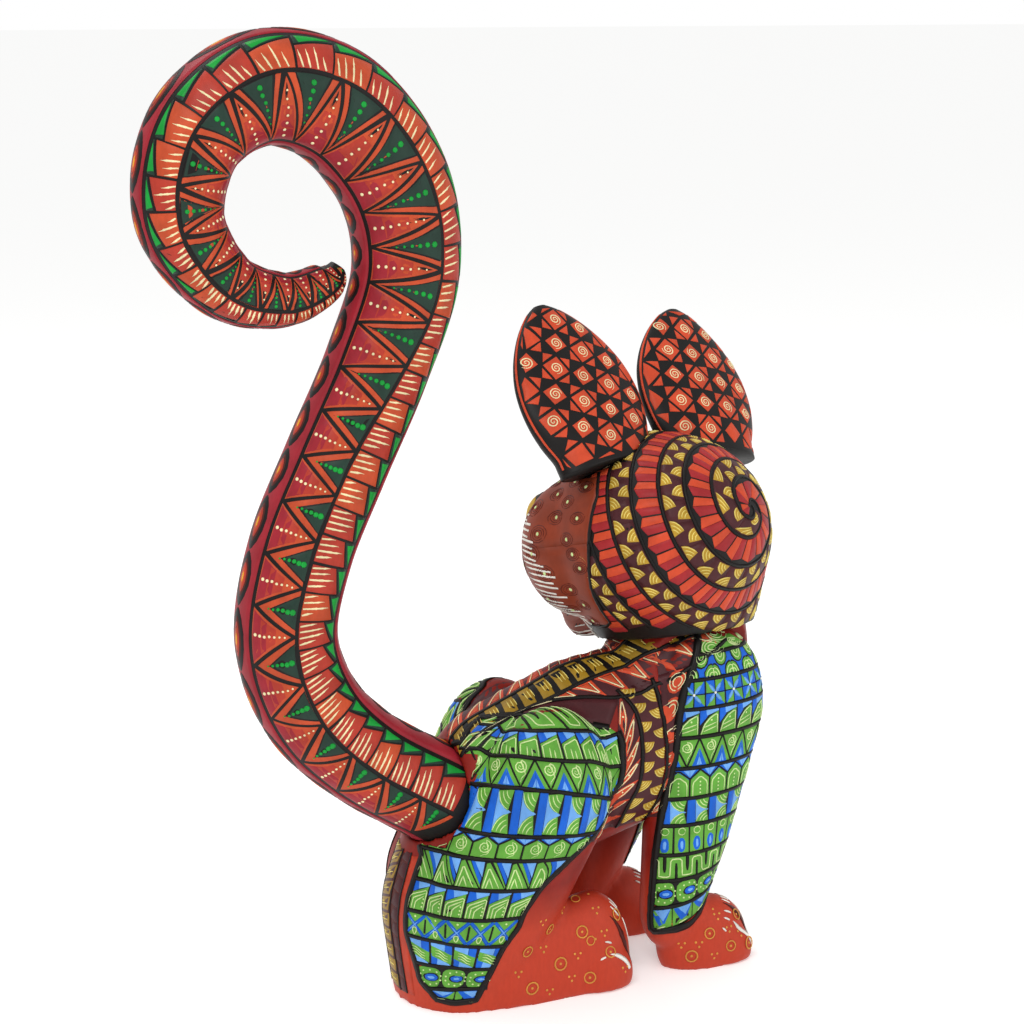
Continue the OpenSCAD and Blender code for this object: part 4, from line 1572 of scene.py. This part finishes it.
for side, word in ((-1, "Right"), (1, "Left")):
    canvas = legCanvas(side)
    region = "leg" + word
    skin, front = surfaces["leg%d" % side], frontLeg["front"]
    lines = [lineOn(canvas, [(rearOfLeg(z), z), (60, z + 1 + rise), (front, z + 2 + rise)], True)
             for z, rise in zip(frontLeg["heights"], frontLeg["rises"])]
    paintRows(region, skin, lines, frontLeg["rows"])
    # black up to the neck
    crown = [lineOn(canvas, [(115, z), (60, z + 1), (front, z + 2)], True) for z in (145, 152)]
    patch((region, "black"), between(skin, *crown), np.linspace(-115, -front, 30), np.linspace(0, 1, 4), 0.3)
    edge = [(rearOfLeg(z), z) for z in np.linspace(146, 19, 18)]
    edge += [(120, 22), (60, 31.5), (0, 33), (front, 33.5)]
    drawn(region, skin, lineOn(canvas, edge), 3.4, 0.46)
    drawn(region, skin, lineOn(canvas, [(front, 33), (front, 140)]), 2.4, 0.46)
print("front legs painted")

# ---- flanks, back and feet ----

flank = {
    "gold": [(-12, -2, 103), (-12, -8, 110), (-13, -22, 118),
             (-14, -40, 123), (-13, -58, 128), (-14, -76, 133), (-21, -92, 140), (-27, -108, 147)],
    "goldFar": [(-2, -2, 106), (-2, -8, 113), (-3, -22, 120),
                (-3, -40, 126), (-2, -58, 131), (-3, -76, 136), (-10, -90, 144), (-14, -98, 149)],
    "triangles": [(-14, -10, 113), (-14, -28, 121), (-16, -42, 124),
                  (-20, -56, 125), (-24, -69, 124), (-29, -87, 128), (-31, -104, 136), (-30, -116, 143)],
    "arcA": [(-21, -69, 126), (-27, -74, 117), (-31, -75, 104), (-31, -74, 87), (-28, -70, 76), (-22, -68, 66)],
    "arcB": [(-25, -82, 129), (-30, -85, 117), (-32, -86, 102), (-30, -86, 85), (-20, -83, 67)],
    "haunchTop": [(170, 134), (130, 136), (80, 135.5), (50, 131), (33, 122), (23.2, 109)],
    "haunchFront": [(383, 107), (386, 101), (387, 93), (400, 80), (412, 72)],
    "backGold": [(1, 10, 61), (0, 15, 45), (-1, 18, 25),
                 (-2, 18, 5)], "backGoldFar": [(12, 9, 61), (11, 14, 45), (10, 17, 25), (9, 18, 5)],
    "saw": [(-4, 10, 62), (-5, 15, 45), (-5.5, 18, 25),
            (-6.5, 18, 5)], "rustEdge": [(-8, 9, 66), (-9.5, 13, 45), (-10, 17, 25), (-11, 18, 5)],
    "sawFar": [(16, 8, 61), (15.5, 13, 45), (14.5, 16, 25), (13.5, 17, 5)],
}


def flame(on, w, h):
    # a leaf that points away from the haunch
    leaf = [(0.3, h * 0.2), (w - 0.3, h * 0.2), (w * 0.80, h * 0.60), (w * 0.22, h - 1.0), (w * 0.12, h * 0.6)]
    on.block("brightRed", leaf)
    on.mark("cream", [(w * 0.2, h * 0.24), (w * 0.22, h * 0.6),
                      (w * 0.3, h * 0.84), (w * 0.66, h * 0.58), (w * 0.8, h * 0.24)], 0.55)
    on.dot("cream", (w * 0.44, h * 0.5), 0.45)


def fanPair(on, w, h):
    for x, y, flip in ((0.3, 1.0, 1), (w * 0.5, h - 1.0, -1)):
        on.fan("gold", x, y, min(w * 0.72, h * 0.42), 1, flip, 4)


def hungTriangle(on, w, h):
    on.block("brightRed", [(0.4, h - 0.7), (w - 0.4, h - 0.7), (w * 0.55, 1.2)])
    on.block("maroon", [(w * 0.2, h - 1.6), (w * 0.8, h - 1.6), (w * 0.53, h * 0.28)], 0.28)
    on.block("orange", [(w * 0.28, h - 1.8), (w * 0.72, h - 1.8), (w * 0.53, h * 0.4)], 0.33)
    on.mark("cream", [(w * 0.22, h - 1.4), (w * 0.53, h * 0.3), (w * 0.78, h - 1.4)], 0.6, lift=0.42)


def goldLeaf(on, w, h):
    on.block("spineGold", [(0.35, 0.9), (w * 0.72, 0.9), (w * 1.16, h - 0.9), (w * 0.48, h - 0.9)])
    for x in (0.5, 0.7, 0.88):
        on.mark("paleGold", [(w * x, h * 0.36), (w * (x + 0.18), h * 0.74)], 0.5)


def goldBlock(on, w, h):
    on.block("spineGold", [(0.5, 0.6), (w - 0.5, 1.8), (w - 0.7, h - 0.6), (0.6, h - 0.6)])
    on.mark("paleGold", [(w * 0.5, h * 0.25), (w * 0.52, h * 0.8)], 0.5)
    on.mark("paleGold", [(w * 0.36, h * 0.5), (w * 0.38, h * 0.82)], 0.5)


def sawTooth(on, w, h):
    on.block("maroon", [(0.1, 0.2), (w - 0.1, 0.2), (w * 0.8, h * 0.92), (0.2, h * 0.55)], 0.3)


def stripe(region, colour, surface, low, high, lift):
    patch((region, colour), between(surface, low, high), np.linspace(0, 1, max(4, int(low[2] / 2.5))),
          np.linspace(0, 1, 5), lift)


wood = surfaces["torso"]
for side in (-1, 1):
    front = lineOn(haunchCanvas(side), flank["haunchFront"])
    skin = surfaces["flank%d" % side]
    lines = {name: lineBy(skin if name in ("gold", "goldFar", "triangles") else wood, stops, side)
             for name, stops in flank.items() if name not in ("haunchFront", "haunchTop")}
    lines["leg"] = lineOn(legCanvas(side), [(rearOfLeg(z) - 2, z) for z in np.linspace(134, 70, 12)])
    if side > 0:
        lines["gold"] = lineBy(skin, flank["goldFar"], -1)
    stripe("body", "maroon", wood, lineOn(haunchCanvas(side), flank["haunchTop"]),
           lineBy(wood, flank["triangles"][:5], side), 0.12)
    bandCells("body", skin, lines["triangles"], lines["gold"], "maroon", 10.5, hungTriangle)
    if side < 0:
        bandCells("body", wood, front, lines["arcA"], "maroon", 9.0, flame)
    else:
        # the left haunch is set back and swells too far out for flames beside it
        stripe("body", "maroon", wood, front, lines["arcA"], 0.12)
    bandCells("body", wood, lines["arcA"], lines["arcB"], "maroon", 8.6, fanPair)
    bandCells("body", skin, lines["arcB"], lines["leg"], "maroon", 10.5, roundel)
    if side < 0:
        bandCells("body", skin, lines["gold"], lines["goldFar"], "black", 8.0, goldLeaf)
        bandCells("body", wood, lines["backGold"], lines["backGoldFar"], "maroon", 6.2, goldBlock)
        stripe("body", "brown", wood, lines["saw"], lines["backGold"], 0.15)
        stripe("body", "footRed", wood, lines["rustEdge"], lines["saw"], 0.13)
        bandCells("body", wood, lines["saw"], lines["backGold"], "maroon", 6.2, sawTooth)
        stripe("body", "brown", wood, lines["sawFar"], lines["backGoldFar"], 0.15)
        for name in ("saw", "backGold", "backGoldFar"):
            drawn("body", wood, lines[name], 1.0, 0.42)
        for name in ("gold", "goldFar"):
            drawn("body", skin, lines[name], 1.7, 0.42)
    for name in ("triangles", "arcA", "arcB"):
        drawn("body", skin, lines[name], 1.7, 0.42)
print("flanks and back painted")


# feet: ringed dots in threes over orange-red, claws and furrows between the toes
feet = {"hind": {"x": 24, "pivot": (-52, 8), "toe": 9.4, "out": 0,
                 "rings": [(-66, 30), (-60, 17), (-48, 27), (-50, 8), (-37, 16), (-33, 31), (-24, 8), (-22, 24)],
                 "dots": [(-56, 34), (-66, 9), (-41, 36), (-42, 9),
                          (-30, 23), (-58, 25), (-18, 15), (-45, 18), (-28, 36), (-32, 5)]},
        "front": {"x": 22, "pivot": (-110, 7), "toe": 7.8, "out": setBack["front"] / 3,
                  "rings": [(-124, 20), (-118, 9), (-108, 16), (-100, 7), (-128, 8)],
                  "dots": [(-113, 22), (-124, 13), (-110, 6), (-103, 12), (-96, 12), (-118, 16)]}}


def outerFace(surface, side, shift):
    def at(y, z):
        n = len(np.atleast_1d(y))
        start = np.column_stack([np.full(n, side * rayStart["side"]),
                                 np.asarray(y, float) + shift, np.asarray(z, float)])
        return shot(surface, start, np.tile([-float(side), 0, 0], (n, 1)))
    return at


def overToes(surface, pivot, shift):
    def at(x, lift):
        e = np.radians(np.asarray(lift, float))
        way = np.column_stack([np.zeros(len(e)), -np.cos(e), np.sin(e)])
        middle = np.column_stack([np.asarray(x, float), np.full(len(e), pivot[0] + shift), np.full(len(e), pivot[1])])
        return shot(surface, middle + way * rayStart["toes"], -way)
    return at


for kind, f in feet.items():
    for side in (-1, 1):
        surface = surfaces["torso"] if kind == "hind" else surfaces["leg%d" % side]
        shift, out = (setBack[kind], f["out"]) if side > 0 else (0, 0)
        cover = outerFace(surface, side, shift)
        for at in f["rings"]:
            ring(("feet", "ringGold"), cover, at, 2.4 + rng.normal(0, 0.2), 0.16)
            spot(("feet", "ringGold"), cover, at, 0.6, 0.2)
        for y, z in f["dots"]:
            for dy, dz in ((-1.3, 0.8), (1.3, 0.9), (0, -1.1)):
                spot(("feet", "ringGold"), cover, (y + dy, z + dz), 0.55, 0.2)
        toesOver = overToes(surface, f["pivot"], shift)
        middle = side * (f["x"] + out)
        for k in (-1, 0, 1):
            x = middle + k * f["toe"]
            stroke(("feet", "white"), toesOver, [(x, 2), (x, 24), (x + 0.3, 46)],
                   2.0, lift=0.3, taper=(0.9, 0.15), step=4)
            for o in (-1.9, 0, 1.9):
                stroke(("feet", "white"), toesOver, [(x + o, 54), (x + o * 0.9, 66)],
                       0.9, lift=0.3, taper=(0.8, 0.3), step=4)
        for k in (-0.5, 0.5):
            x = middle + k * f["toe"]
            stroke(("feet", "brown"), toesOver, [(x, -6), (x, 20), (x, 44), (x - side * 0.5, 66)],
                   3.0, lift=0.26, taper=(1, 0.1), step=4)
        # tops of the feet
        for x in np.linspace(middle - f["toe"], middle + f["toe"], 3):
            ring(("feet", "ringGold"), toesOver, (x + 2, 96 + rng.normal(0, 5)), 1.8, 0.16)
            spot(("feet", "ringGold"), toesOver, (x + 2, 84), 0.55, 0.2)
print("feet painted")

# ---- put the paint on ----

bodyOf = {"tail": ("tail", "tail_paint"), "earLeft": ("ear_left", "ear_paint"),
          "earRight": ("ear_right", "ear_paint"),
          "head": ("cat", "head_paint"), "body": ("cat", "body_paint")}
bodyOf.update({region: ("cat", "leg_paint")
               for region in ("haunchRight", "haunchLeft", "legRight", "legLeft", "feet")})
for (region, colour), (points, faces, _) in sorted(paint.items()):
    body, slot = bodyOf[region]
    addPiece(region + "Paint" + colour[0].upper() + colour[1:], meshOf("paint", np.vstack(points), faces),
             paints[colour], body)
for kind, marks, height, sides in (("dome", spots, 0.3, 8), ("ring", rings, 0.8, 12)):
    for (region, colour), found in sorted(marks.items()):
        body, slot = bodyOf[region]
        name = region + ("Dots" if kind == "dome" else "Rings") + colour[0].upper() + colour[1:]
        addPiece(name, scattered(name, kind, found, paints[colour], height, sides), paints[colour], body)
print("paint laid on", len(paint), "coats and", sum(len(v) for v in spots.values()), "dots")

# ---- room, light and camera ----

room = {"floorSize": 60000, "floorColour": "#f4f4f3", "glow": 0.3, "roomLight": 0.72}


def floorMesh():
    # a pale flat sheet, so wide that no edge of it shows
    half = room["floorSize"] / 2
    return meshOf("floor", np.array(box(0, 0, -half, -half)) @ np.eye(2, 3), [(0, 1, 2, 3)])


floorPaper = bpy.data.materials.new("mattPaper")
floorPaper.use_nodes = True
paper = floorPaper.node_tree.nodes["Principled BSDF"]
paper.inputs["Base Color"].default_value = linear(room["floorColour"])
paper.inputs["Roughness"].default_value = 0.9
paper.inputs["Specular IOR Level"].default_value = 0.0
paper.inputs["Emission Color"].default_value = (1, 1, 1, 1)
paper.inputs["Emission Strength"].default_value = room["glow"]
floor = linked("floor", floorMesh())
floor.data.materials.append(floorPaper)

world = bpy.data.worlds.new("softRoom")
bpy.context.scene.world = world
world.use_nodes = True
sky = world.node_tree.nodes["Background"]
sky.inputs["Color"].default_value = (1, 1, 1, 1)
# the lens sees it pure white, and the cat is lit by a little less
path = world.node_tree.nodes.new("ShaderNodeLightPath")
seen = world.node_tree.nodes.new("ShaderNodeMapRange")
seen.inputs["To Min"].default_value = room["roomLight"]
seen.inputs["To Max"].default_value = 1.0
world.node_tree.links.new(path.outputs["Is Camera Ray"], seen.inputs["Value"])
world.node_tree.links.new(seen.outputs[0], sky.inputs["Strength"])


def softBox(name, place, target, size, power):
    light = bpy.data.lights.new(name, "AREA")
    light.shape, light.size, light.energy = "DISK", size * mm, power
    lamp = linked(name, light)
    lamp.location = Vector(place) * mm
    lamp.rotation_euler = (Vector(target) * mm - lamp.location).to_track_quat("-Z", "Y").to_euler()


softBox("keyLight", (-900, 700, 1300), (0, -20, 180), 700, 9)
softBox("fillLight", (-1300, -900, 700), (0, -20, 150), 900, 4)
softBox("backLight", (700, 300, 1400), (0, 0, 200), 700, 5)

lens = bpy.data.cameras.new("camera")
lens.lens, lens.sensor_width, lens.clip_start = 85, 36, 0.01
camera = linked("camera", lens)
view = {"from": (-844.2, 398.8, 399.2), "turn": 27, "drop": 12}
turn, drop = math.radians(view["turn"]), math.radians(view["drop"])
ahead = Vector((math.cos(turn) * math.cos(drop), -math.sin(turn) * math.cos(drop), -math.sin(drop)))
camera.location = Vector(view["from"]) * mm
camera.rotation_euler = ahead.to_track_quat("-Z", "Y").to_euler()
bpy.context.scene.camera = camera
bpy.context.scene.view_settings.view_transform = "Standard"
print("room lit")
